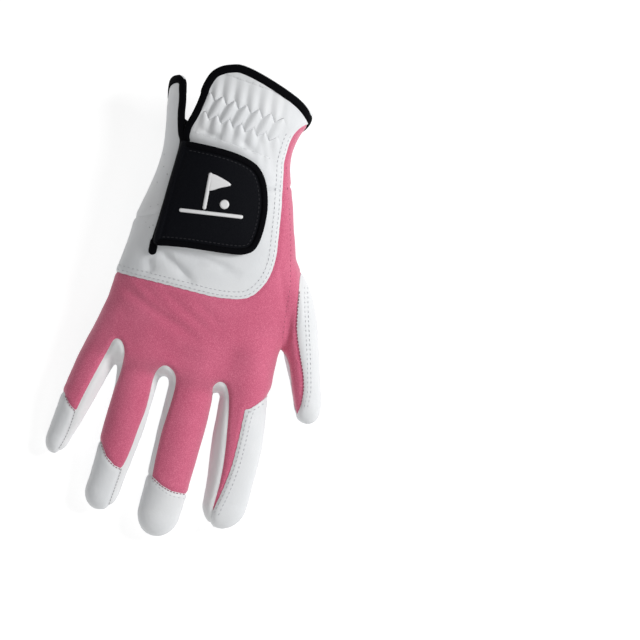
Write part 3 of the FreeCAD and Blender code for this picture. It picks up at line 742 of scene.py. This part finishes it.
def stitch_row(line, step, above, length=1.3, width=0.42, lift=None):
    xy = spaced(line, step)
    p, n = (lift or on_relief)(xy, above)
    return capsules(p, np.gradient(p, axis=0), n, length, width, width * 0.9)


FLATNESS = 0.8  # of a tape's section: 1 is an ellipse, less is closer to a rectangle
RIB_LENGTH = 0.9


def tube(points, normals, half_wide, half_high, sink=0.0, sides=14, rib=0.0):
    """A flat rounded tape along points, with its flat side square to normals."""
    t = np.gradient(points, axis=0)
    t /= np.linalg.norm(t, axis=1)[:, None]
    n = normals - t * (normals * t).sum(1)[:, None]
    n /= np.linalg.norm(n, axis=1)[:, None]
    b = np.cross(t, n)
    along = np.concatenate([[0], np.cumsum(np.linalg.norm(np.diff(points, axis=0), axis=1))])
    end = np.minimum(along, along[-1] - along) / half_wide
    size = np.sqrt(np.clip(1 - (1 - np.clip(end, 0, 1)) ** 2, 0.02, 1))
    size = size * (1 + rib * np.sin(along * 2 * np.pi / RIB_LENGTH))
    rows = []
    for j in range(sides):
        w = 2 * np.pi * j / sides
        c, s = np.cos(w), np.sin(w)
        y = np.sign(c) * abs(c) ** FLATNESS * half_wide
        z = np.sign(s) * abs(s) ** FLATNESS * half_high
        rows.append(points + b * (y * size)[:, None] + n * (z * size - sink)[:, None])
    verts = np.stack(rows, 1).reshape(-1, 3)
    faces = []
    for k in range(len(points) - 1):
        for j in range(sides):
            q = (j + 1) % sides
            faces.append((k * sides + j, (k + 1) * sides + j, (k + 1) * sides + q, k * sides + q))
    faces.append(tuple(range(sides)))
    faces.append(tuple(reversed(range((len(points) - 1) * sides, len(points) * sides))))
    return verts, faces, None


# ---------------------------------------------------------------- skins

KNUCKLE_START = -4.0  # where a finger's skin starts, along it from its first hinge

STEP = 1.0
points, triangles = surface_nets(STEP)
points = settle(points)
points, triangles = refine(points, triangles, elastic_area)
points, triangles = refine(points, triangles, elastic_area)
points = settle(points, 1)


def row_field(zig):
    def field(p):
        s, q = row_frame(p)
        return np.where(elastic_area(p), q - zig(s), 9)
    return field


def zone_field(name, where):
    return lambda p: local(name, p)[0] - where


def digit_share(p):
    """Which digit each point belongs to, or -1 for the hand."""
    names = list(DIGITS)
    d = np.stack([digit_sdf(n, p) for n in names], 1)
    who = d.argmin(1)
    best = np.full(len(p), -1)
    for k, name in enumerate(names):
        u = local(name, p)[0]
        if name == "thumb":
            ok = (who == k) & (d[:, k] < hand_sdf(p)) & (u > 0)
        else:
            ok = (np.stack([d[:, i] for i in range(4)], 1).argmin(1) == k) & (u > KNUCKLE_START) & (d[:,
                4] > d[:, k])
        best[ok] = k
    return best


fields = [lambda p: slope_of(p)[0][:, 2] * 9 + SIDE * 9]
fields += [row_field(zig_upper), row_field(zig_lower)]
fields += [lambda p, a=a: inside(a, p) for a in (YOKE, PINK, CAPS["little"], CAPS["ring"],
    CAPS["middle"], PATCH, THUMB_WHITE, SLIT, back_rim_area())]
fields += [lambda p: RIM_PALM(p[:, 0]) - p[:, 1]]
fields += [zone_field(n, KNUCKLE_START) for n in FINGERS] + [zone_field("thumb", 0.0)]
for name in DIGITS:
    half = DIGITS[name][3][2][0] * 0.5
    fields.append(zone_field(name, half))
pairs = [("little", "ring"), ("ring", "middle"), ("middle", "index")]
fields += [lambda p, a=a, b=b: digit_sdf(a, p) - digit_sdf(b, p) for a, b in pairs]
fields += [lambda p: digit_sdf("thumb", p) - hand_sdf(p)]
for field in fields:
    points, triangles = split(points, triangles, field)

normal, _ = slope_of(points)
centre = points[triangles].mean(1)
centre_normal, _ = slope_of(centre)
is_back = centre_normal[:, 2] > -SIDE
in_area = {k: inside(a, centre) > 0 for k, a in (("yoke", YOKE), ("pink", PINK), ("patch", PATCH),
    ("thumb", THUMB_WHITE), ("slit", SLIT), ("rim", back_rim_area()))}
in_cap = {k: inside(a, centre) > 0 for k, a in CAPS.items()}
who = digit_share(centre)
names = list(DIGITS)
gone = np.where(is_back, (in_area["slit"] & (centre[:, 1] > 22)) | ~in_area["rim"],
    centre[:, 1] > RIM_PALM(centre[:, 0])) & (centre[:, 1] > 15)

label = np.full(len(triangles), "palm", dtype="<U12")
label[is_back] = "fourchette"
on_thumb = who == 4
label[is_back & in_area["pink"]] = "pink"
for k in CAPS:
    label[is_back & in_cap[k] & (who == names.index(k))] = "cap"
label[is_back & in_area["patch"] & (who == 3)] = "patch"
label[is_back & in_area["thumb"] & (centre[:, 1] < 24) & ~(in_area["yoke"])] = "thumb"
label[~is_back & on_thumb] = "thumb"
label[is_back & on_thumb & ~in_area["pink"]] = "thumb"
label[is_back & in_area["yoke"] & (centre[:, 1] > 0)] = "yoke"
label[is_back & (centre[:, 1] > 16) & (label == "fourchette")] = "pink"

seams = [np.abs(inside(a, points)) for a in (YOKE, PINK)]
for k, a in CAPS.items():
    seams.append(np.where(np.abs(inside(a, points)) < 6, np.abs(inside(a, points)), 9)
        + np.where(local(k, points)[0] > 20, 0, 9))
seams.append(np.abs(inside(PATCH, points)) + np.where(local("index", points)[0] > 5, 0, 9))
top_seam = np.min(seams, 0)
side_seam = np.abs(normal[:, 2] + SIDE) * 7
height = relief(points, normal)
height += groove(np.where(normal[:, 2] > -SIDE, top_seam, 9)) + groove(side_seam, 0.6, 0.3)
height -= 0.1 * np.exp(-((inside(SLIT, points) / 2.5) ** 2)) * (normal[:, 2] > 0)
shown = points + normal * height[:, None]
shading = vertex_normals(shown, triangles)
shading *= np.sign((shading * normal).sum(1))[:, None]

RAISE = {"palm": 0.0, "fourchette": 0.0, "pink": 0.05, "cap": 0.12, "patch": 0.4, "thumb": 0.25,
    "yoke": 0.45}
DEEP = {"palm": 1.0, "fourchette": 0.9, "pink": 0.9, "cap": 1.0, "patch": 1.2, "thumb": 1.1,
    "yoke": 1.3}
LOOK = {"palm": WHITE, "fourchette": WHITE_SOFT, "pink": PINK_CLOTH, "cap": WHITE, "patch": WHITE,
    "thumb": WHITE, "yoke": WHITE}
HAND_NODES = {"palm": ["palm_panel"], "pink": ["back_panel"], "yoke": ["back_yoke"],
    "fourchette": ["fourchette_web_little_ring", "fourchette_web_ring_middle",
    "fourchette_web_middle_index"]}
DIGIT_NODES = {"palm": "palm_{}_{}", "pink": "back_{}_{}", "fourchette": "fourchette_{}_{}",
    "patch": "index_patch_{1}"}


def axis_point(name, u):
    (hx, hy), turn = DIGITS[name][:2]
    c, s = np.cos(np.radians(turn)), np.sin(np.radians(turn))
    return np.array((hx - s * u, hy - c * u, 8.0))


def thread_part(name, low, high, chunk):
    """Keeps the stitches of a chunk whose middle is between two distances along a digit."""
    verts, faces, norms = chunk
    per = CAPSULE_POINTS
    mid = verts.reshape(-1, per, 3).mean(1)
    u = local(name, mid)[0]
    keep = (u >= low) & (u < high)
    if not keep.any():
        return None
    v = verts.reshape(-1, per, 3)[keep].reshape(-1, 3)
    n = norms.reshape(-1, per, 3)[keep].reshape(-1, 3)
    count = keep.sum()
    f = faces.reshape(len(keep), -1, 4)[:1] + per * np.arange(count)[:, None, None]
    return v, f.reshape(-1, 4), n


def digit_threads():
    """Stitch rows on the digits: (digit, label it goes with, material, chunk)."""
    rows = []
    left = round_off([(13.6, -94.4), (15.4, -90.6), (18.6, -83.6), (22.4, -73.6), (25.4, -62.2),
        (27.4, -53), (28.6, -49.4)])
    for across in (-1.0, -2.9):
        rows.append(("index", "patch", THREAD, stitch_row(offset_line(left, across), 2.1, 0.5, 1.3,
            0.4)))
    top = round_off([(30, -49.4), (34, -47), (37.2, -44.6)])
    rows.append(("index", "patch", THREAD, stitch_row(offset_line(top, -0.4), 2.1, 0.5, 1.3, 0.4)))
    rows.append(("little", "cap", SEAM_THREAD, stitch_row(round_off([(-53.1, -43), (-51.4, -46.4),
        (-49.3, -48.9)]), 1.5, 0.05, 1.2, 0.4)))
    rows.append(("ring", "cap", SEAM_THREAD, stitch_row(round_off([(-37.2, -63.9), (-34.9, -69.9),
        (-31.3, -74.1), (-28.8, -75.5)]), 1.5, 0.05, 1.2, 0.4)))
    rows.append(("middle", "cap", SEAM_THREAD, stitch_row(round_off([(-13.9, -79.8), (-10, -83.1),
        (-5, -85.9), (0.2, -87)]), 1.5, 0.05, 1.2, 0.4)))
    rows.append(("little", "cap", GREY_THREAD_AND_HOLE_SHADE, stitch_row(round_off([(-49, -50), (-51, -56),
        (-54, -62.6), (-56, -66)]), 1.5, 0.0, 1.2, 0.35)))
    rows.append(("ring", "cap", GREY_THREAD_AND_HOLE_SHADE, stitch_row(round_off([(-28, -75.9), (-29.8, -81),
        (-33.6, -91)]), 1.5, 0.0, 1.2, 0.35)))
    rows.append(("middle", "cap", THREAD, stitch_row(offset_line(round_off([(-13, -80.6), (-9.6, -83.8),
        (-5, -86.8), (0, -88)]), -0.8), 1.9, 0.2, 1.2, 0.35)))
    for x in (56.0, 57.4):
        rows.append(("thumb", "thumb", THREAD, stitch_row(round_off([(x - 1.6, 6), (x - 1.3, -6),
            (x - 0.6, -18), (x, -30), (x + 0.1, -40), (x - 1.2, -47)]), 2.1, 0.35, 1.2, 0.36)))
    rows.append(("thumb", "thumb", SEAM_THREAD, stitch_row(round_off([(52.3, 4), (51.5, -5),
        (51.2, -12), (51.7, -17.6), (52.8, -25), (54, -32.6), (54.2, -40), (53, -46.4)]), 1.6, 0.15,
        1.3, 0.4)))
    return rows


def build_skins():
    threads = digit_threads()
    for what in LOOK:
        for k in range(-1, 5):
            chosen = (label == what) & (who == k) & ~gone
            name = names[k] if k >= 0 else "hand"
            spans = [("base", -99, 999)] if k < 0 else [("base", -99, DIGITS[name][3][2][0] * 0.5),
                ("tip", DIGITS[name][3][2][0] * 0.5, 999)]
            for segment, low, high in spans:
                pick = chosen.copy()
                if k >= 0:
                    u = local(name, centre)[0]
                    pick &= (u >= low) & (u < high)
                if pick.sum() < 3:
                    continue
                outer, rim = thicken(shown + shading * RAISE[what], shading, triangles[pick],
                    DEEP[what])
                chunks = [(*outer, LOOK[what]), (*rim, LOOK[what])]
                for digit, goes, look, chunk in threads:
                    if digit == name and goes == what:
                        part = thread_part(name, low, high, chunk)
                        if part:
                            chunks.append((*part, look))
                if k < 0:
                    nodes = HAND_NODES.get(what, [])
                    piece(f"skin_{what}_hand", chunks, nodes, body="hand")
                    continue
                if what == "cap":
                    nodes = [f"tip_cap_{name}"] if segment == "tip" else []
                elif name == "thumb":
                    nodes = [f"thumb_leather_{segment}"] if what == "thumb" else ([f"thumb_strip_{segment}"] if what == "pink" else [])
                elif what == "thumb":
                    nodes = []
                else:
                    nodes = [DIGIT_NODES[what].format(name, segment)]
                joint = DIGITS[name][3][2][0]
                if name == "thumb" and segment == "base":
                    piece(f"skin_{what}_thumb_base", chunks, nodes, body="thumb_base")
                    continue
                if segment == "base":
                    blend = ("hand", f"{name}_base", axis_point(name, -3.5), axis_point(name, 8))
                else:
                    blend = (f"{name}_base", f"{name}_tip", axis_point(name, joint - 6),
                        axis_point(name, joint + 6))
                piece(f"skin_{what}_{name}_{segment}", chunks, nodes, blend=blend)


build_skins()


def build_thumb_web():
    """Stretch lining under the crease of the thumb, which fills the crease as the thumb spreads."""
    gap = digit_sdf("thumb", centre) - hand_sdf(centre)
    near = (np.abs(gap) < 7.5) & (local("thumb", centre)[0] > -5) & (centre[:, 0] > 36) & ~gone
    for name, part, look, slot in (("back", is_back, PINK_CLOTH, "pink_fabric"),
        ("palm", ~is_back, WHITE_SOFT, "stretch_mesh")):
        outer, rim = thicken(shown - shading * 0.65, shading, triangles[near & part], 0.4)
        piece(f"thumb_web_{name}", [(*outer, look), (*rim, look)], (), blend=("hand",
            "thumb_base", (44.6, -10, 8), (47.4, -9.6, 8)))


build_thumb_web()

# ---------------------------------------------------------------- bindings


def cuff_path():
    """The middle of the cuff's tape, from the V round the back, the palm and up the side strip."""
    back = round_off([*bowed((9.5, 92), (14.5, 101.5), -0.7, 4), (18, 103.4), (22.4, 104.1),
        (26.8, 103.8), (34.2, 100.4), (44.1, 94.4), (50.9, 89.5), (54.6, 85.6), (56.2, 82.6)])
    c, a, b = hand_section(back[:, 1])
    angle_b = np.arcsin(np.clip((back[:, 0] - c) / a, -1, 1))
    palm = round_off([(90, 81.6), (105, 78.4), (122, 75), (142, 72.6), (165, 71.6), (190, 72.4),
        (210, 75.4), (228, 80), (244, 84), (256, 90), (266, 95), (276, 98.2), (286, 99.6)])
    angle_p, y_p = np.radians(palm[:, 0]), palm[:, 1]
    tip = round_off([(-1.5, 100), (0, 98.5), (0, 96), (0, 92)])
    c, a, b = hand_section(tip[:, 1])
    angle_t = np.arcsin(np.clip((tip[:, 0] - c) / a, -1, 1)) + 2 * np.pi
    path = np.vstack([np.column_stack([angle_b, back[:, 1]]), np.column_stack([angle_p, y_p]),
        np.column_stack([angle_t, tip[:, 1]])])
    c, a, b = hand_section(path[:, 1])
    p = np.column_stack([c + a * np.sin(path[:, 0]), path[:, 1], b + b * np.cos(path[:, 0])])
    p = spaced(p, 0.45)
    for _ in range(6):
        p[1:-1] = (p[:-2] + 2 * p[1:-1] + p[2:]) / 4
    q = settle(p.copy(), 2)
    n, _ = slope_of(q)
    keep = q[:, 2] > 1.0
    p = np.where(keep[:, None], q, p)
    return p, n


p, n = cuff_path()
h = relief(p, n) * 0.6 + 0.25
piece("cuff_binding_tape", [(*tube(p + n * h[:, None], n, 1.95, 1.25, 0.35, rib=0.012), TAPE)],
    ["cuff_binding"])

p, n = on_relief(spaced(round_off(TAPE_LITTLE), 0.45), 0.35)
piece("slit_tape_little_side", [(*tube(p, n, 1.85, 1.15, 0.3, rib=0.012), TAPE)],
    ["slit_binding_little_side"])
p, n = on_relief(spaced(round_off(TAPE_THUMB), 0.45), 0.35)
piece("slit_tape_thumb_side", [(*tube(p, n, 1.8, 1.15, 0.3, rib=0.012), TAPE)],
    ["slit_binding_thumb_side"])
p, n = on_relief(spaced(bowed((-12.2, 28.5), (-13.8, 21), 0), 0.3), 0.8)
piece("slit_tape_end", [(*tube(p, n, 1.95, 1.1, 0.2), TAPE)], ["slit_end_tack"])

# ---------------------------------------------------------------- stitching on the hand

yoke_line = YOKE_EDGE[(YOKE_EDGE[:, 0] > -29.5) & (YOKE_EDGE[:, 1] < 74)]
rows = [(*stitch_row(offset_line(yoke_line, a), 2.1, 0.55, 1.35, 0.42), THREAD) for a in (1.3, 3.3)]
piece("yoke_stitches", rows, ())


def zigzag(zig, start, end):
    s = np.arange(start, end, 0.1)
    q = zig(s)
    a, b = ZIG_RUN
    return spaced(np.column_stack([ZIG_START[0] + a * s - b * q, ZIG_START[1] + b * s + a * q]), 0.28)


rows = []
for line in (zigzag(zig_upper, -8.6, 26), zigzag(zig_lower, -9, 25.6)):
    p, n = on_relief(line, 0.5)
    rows.append((*tube(p, n, 0.17, 0.12, 0.02, sides=6), GREY_THREAD_AND_HOLE_SHADE))
piece("elastic_stitches", rows, ())

gusset = round_off([(46.6, 60), (47.4, 45), (48.2, 30), (48.6, 18), (48.2, 6), (46.4, -5), (44.8, -16)])
piece("gusset_stitches", [(*stitch_row(gusset, 2.3, 0.05, 1.0, 0.3), SEAM_THREAD)], ())

# Small punched air holes beside the slit, each drawn as a grey dot of painted shade for the dark inside of the
# hole.
holes = [(-8, 66), (-8.2, 60.4), (-6.7, 57), (-11.2, 53.4), (-14.2, 42.4), (-10.8, 43.2), (-16.4, 35.4),
    (-13.2, 34.2), (-14.8, 33.2)]
p, n = on_relief(np.array(holes), 0.42)
piece("air_holes", [(*capsules(p, np.tile((0.0, 1.0, 0.2), (len(p), 1)), n, 0.7, 0.7, 0.16),
    GREY_THREAD_AND_HOLE_SHADE)], ())

# ---------------------------------------------------------------- tab

TAB_LEAN = 0.3  # of the sewn edge, sideways per distance towards the cuff
TAB_MIDDLE = (12, 46)
TAB_SIDE = bowed((-1, 70.5), (-13, 28), 0.4)
TAB_AREA = round_off([TAB_SIDE[-1], (-11.6, 25.4), (-6, 24.9), (2, 24.1), (11, 22.8), (20, 21.5),
    (26.6, 21), (31.4, 22.4), (34.2, 26), (36.4, 32), (38, 40), (38.2, 47), (37.2, 54), (34.6, 59.6),
    (30.4, 63.2), (23, 66.6), (14, 69.2), (5, 71.2), (0, 72), *TAB_SIDE[:-1]],
    closed=True)


def plate(area, step, top, low):
    """A thin solid over an outline, its top at top(inside distance) over the hand."""
    lo, hi = area.min(0) - step, area.max(0) + step
    xs, ys = np.arange(lo[0], hi[0], step), np.arange(lo[1], hi[1], step)
    gx, gy = np.meshgrid(xs, ys, indexing="ij")
    p = np.column_stack([gx.ravel(), gy.ravel(), 0 * gx.ravel()])
    i = (np.arange(len(xs) - 1)[:, None] * len(ys) + np.arange(len(ys) - 1)).ravel()
    w = len(ys)
    tris = np.vstack([np.stack([i, i + w, i + w + 1], 1), np.stack([i, i + w + 1, i + 1], 1)])
    p, tris = split(p, tris, lambda q: inside(area, q))
    tris = tris[inside(area, p[tris].mean(1)) > 0]
    used, back = np.unique(tris, return_inverse=True)
    p, tris = p[used], back.reshape(tris.shape)
    d = np.maximum(inside(area, p), 0)
    c, a, b = hand_section(p[:, 1])

    def over(rise):
        z = b + (b + rise) * np.sqrt(np.clip(1 - ((p[:, 0] - c) / (a + rise)) ** 2, 0, 1))
        return np.column_stack([p[:, :2], z])

    upper = over(top(d, p))
    lower = over(low + 0 * d)
    n = vertex_normals(upper, tris)
    n *= np.sign(n[:, 2])[:, None]
    k = len(p)
    edges = np.vstack([tris[:, [0, 1]], tris[:, [1, 2]], tris[:, [2, 0]]])
    _, first, count = np.unique(np.sort(edges, 1), axis=0, return_index=True, return_counts=True)
    r = edges[first[count == 1]]
    wall = np.stack([r[:, 1], r[:, 0], r[:, 0] + k, r[:, 1] + k], 1)
    at, where = np.unique(wall, return_inverse=True)
    both = np.vstack([upper, lower])
    return [(both, tris.tolist() + (tris[:, ::-1] + k).tolist(), np.vstack([n, -n])),
        (both[at], where.reshape(wall.shape).tolist(), None)], (upper, n)


def tab_top(d, p):
    border = 0.55 * np.sin(np.pi * np.clip(d / 2.9, 0, 1)) ** 0.7 * (d < 2.9)
    lip = -0.9 * (1 - quarter_round(d, 0.9))
    puff = 0.35 * (1 - np.exp(-np.maximum(d - 3, 0) / 5))
    pinch = -0.28 * np.exp(-(((d - 3.9) / 0.55) ** 2)) - 0.45 * np.exp(-(((d - 2.95) / 0.4) ** 2))
    soft = 0.12 * wave(p, 16, 21)
    free = np.clip((p[:, 0] + 13 - (p[:, 1] - 28) * TAB_LEAN) / 5, 0, 1)
    return 3.5 + (border + puff + pinch) * free + lip + soft


chunks, _ = plate(TAB_AREA, 0.5, tab_top, 2.1)


def tab_lift(xy, above):
    p = np.column_stack([xy, 0 * xy[:, 0]])
    d = np.maximum(inside(TAB_AREA, p), 0)
    rise = tab_top(d, p) + above
    c, a, b = hand_section(p[:, 1])
    z = b + (b + rise) * np.sqrt(np.clip(1 - ((p[:, 0] - c) / (a + rise)) ** 2, 0, 1))
    n = np.column_stack([(p[:, 0] - c) / a**2, 0 * z, (z - b) / b**2])
    n[:, 2] += 1e-6
    return np.column_stack([xy, z]), n / np.linalg.norm(n, axis=1)[:, None]


def shrink(area, by):
    line = spaced(area, 0.6, closed=True)
    both = [offset_line(line, by), offset_line(line, -by)]
    return max(both, key=lambda q: inside(area, q).mean())




def tab_row(by, start):
    """The tab's outline moved in by a distance, without its sewn edge, from one end to the other."""
    row = shrink(TAB_AREA, by)
    row = row[row[:, 0] - (row[:, 1] - 28) * TAB_LEAN > start]
    turn = np.arctan2(row[:, 1] - TAB_MIDDLE[1], row[:, 0] - TAB_MIDDLE[0])
    return row[np.argsort((turn - np.pi * 0.99) % (2 * np.pi))]


v, f, nn = stitch_row(tab_row(3.9, -8.6), 1.9, 0.06, 1.35, 0.4, lift=tab_lift)
piece("tab_cover", [(*c, TAB) for c in chunks] + [(v, f, nn, DARK_THREAD)], ["tab_panel"],
    body="closure_tab")

p, n = tab_lift(spaced(tab_row(1.35, -11.4), 0.45), -0.75)
piece("tab_edge_tape", [(*tube(p, n, 1.45, 0.95, 0.0, rib=0.015), TAPE)], ["tab_binding"],
    body="closure_tab")

# The emblem: a flag on its stick, a ball and the ground.


def ring(x, y, r, count=28):
    a = np.linspace(0, 2 * np.pi, count, endpoint=False)
    return np.column_stack([x + r * np.cos(a), y + r * np.sin(a)])


def bar(a, b, w):
    a, b = np.array(a, float), np.array(b, float)
    d = (b - a) / np.hypot(*(b - a))
    m = np.array((-d[1], d[0]))
    t = np.linspace(-np.pi / 2, np.pi / 2, 9)
    end = [b + w * (np.cos(k) * d + np.sin(k) * m) for k in t]
    start = [a - w * (np.cos(k) * d + np.sin(k) * m) for k in t]
    return np.array(end + start)


def raised(d, p):
    base = tab_top(np.maximum(inside(TAB_AREA, p), 0), p)
    return base + 0.15 + 0.55 * quarter_round(d, 0.55)


emblem = []
flag = round_off([(12.7, 57), (16.6, 55.8), (21.9, 52.2), (17.1, 50.8), (12.1, 49.6), (12.4, 53.2)],
    closed=True, steps=4)
for area in (bar((9.9, 42), (12.7, 56.8), 0.85), flag, ring(18.9, 43.4, 2.1), bar((-0.6, 40.9),
    (26.4, 37.8), 0.85)):
    parts, _ = plate(area, 0.3, raised, 3.3)
    emblem += [(*c, RUBBER) for c in parts]
piece("tab_emblem_rubber", emblem, ["tab_emblem"], body="closure_tab")

# Hook and loop patches, and the elastic bands inside.
HOOK_AREA = round_off([(12, 30), (20, 28), (28, 28), (31.4, 33), (32.6, 46), (31, 52.6), (22, 57),
    (14, 59), (12.6, 45)], closed=True)
LOOP_AREA = round_off([(7, 30), (18, 27.4), (29, 28), (32.4, 33), (33.6, 46), (32, 54), (22, 59.6),
    (9, 62), (7, 46)], closed=True)


def pile(base, size, seed):
    def top(d, p):
        return base + size * (0.6 + 0.4 * wave(p, 1.6, seed)) - 0.3 * np.exp(-((d / 0.5) ** 2))
    return top


parts, _ = plate(HOOK_AREA, 0.6, pile(1.75, 0.3, 5), 1.35)
piece("hook_patch_pile", [(*c, HOOKS) for c in parts], ["hook_patch"],
    body="closure_tab")
parts, _ = plate(LOOP_AREA, 0.6, pile(0.85, 0.25, 6), 0.3)
piece("loop_patch_pile", [(*c, HOOKS) for c in parts], ["loop_patch"])


def band(area, shift):
    def top(d, p):
        s, q = row_frame(p)
        return shift + 0.25 * np.sin(2 * np.pi * s / 2.7)
    parts, _ = plate(area, 0.7, top, shift - 0.9)
    return [(*c, BAND) for c in parts]


piece("elastic_upper_weave", band(np.array([(14.5, 93), (14, 86.5), (47, 76.5), (49.5, 82.5)]), -1.5),
    ["elastic_band_upper"])
piece("elastic_lower_weave", band(np.array([(12, 84.5), (10, 78.2), (45, 67.5), (46, 74)]), -1.5),
    ["elastic_band_lower"])

# ---------------------------------------------------------------- floor, light and camera


def big_sheet(name, size, z, look):
    n = 12
    xs = np.linspace(-size, size, n + 1)
    gx, gy = np.meshgrid(xs, xs, indexing="ij")
    verts = np.column_stack([gx.ravel(), gy.ravel(), np.full(gx.size, z)])
    i = (np.arange(n)[:, None] * (n + 1) + np.arange(n)).ravel()
    mesh = bpy.data.meshes.new(name)
    mesh.from_pydata(verts.tolist(), [], np.stack([i, i + n + 1, i + n + 2, i + 1], 1).tolist())
    mesh.materials.append(look)
    obj = bpy.data.objects.new(name, mesh)
    bpy.context.scene.collection.objects.link(obj)
    return obj


def floor_build(shader, links, noise, ramp, mix, bump):
    links.new(ramp(noise(3, 2), (0.3, (0.42, 0.42, 0.42)), (0.7, (0.44, 0.44, 0.44))),
        shader.inputs["Base Color"])


FLOOR = material("pale_floor", (0.43, 0.43, 0.43), 0.9, floor_build, specular=0.0, glow=0.74)
big_sheet("floor", 2.0, -0.0002, FLOOR)

scene = bpy.context.scene
world = bpy.data.worlds.new("studio")
world.use_nodes = True
world.node_tree.nodes["Background"].inputs[0].default_value = (1.0, 1.0, 1.0, 1)
world.node_tree.nodes["Background"].inputs[1].default_value = 0.28
scene.world = world
scene.view_settings.view_transform = "Standard"


def area_light(name, at, target, size, power):
    data = bpy.data.lights.new(name, "AREA")
    data.shape = "DISK"
    data.size = size
    data.energy = power
    obj = bpy.data.objects.new(name, data)
    obj.location = at
    obj.rotation_euler = (Vector(target) - Vector(at)).to_track_quat("-Z", "Y").to_euler()
    scene.collection.objects.link(obj)


area_light("key", (0.95, 0.25, 0.75), (0, 0, 0), 0.4, 10.2)
area_light("fill", (0.0, -0.7, 0.9), (0, 0, 0), 0.8, 3.5)

camera = bpy.data.cameras.new("camera")
camera.sensor_width = 36
camera.lens = 36 * 2.98 / 0.288
eye = bpy.data.objects.new("camera", camera)
eye.location = (0.06165, -0.0083, 3.0)
scene.collection.objects.link(eye)
scene.camera = eye
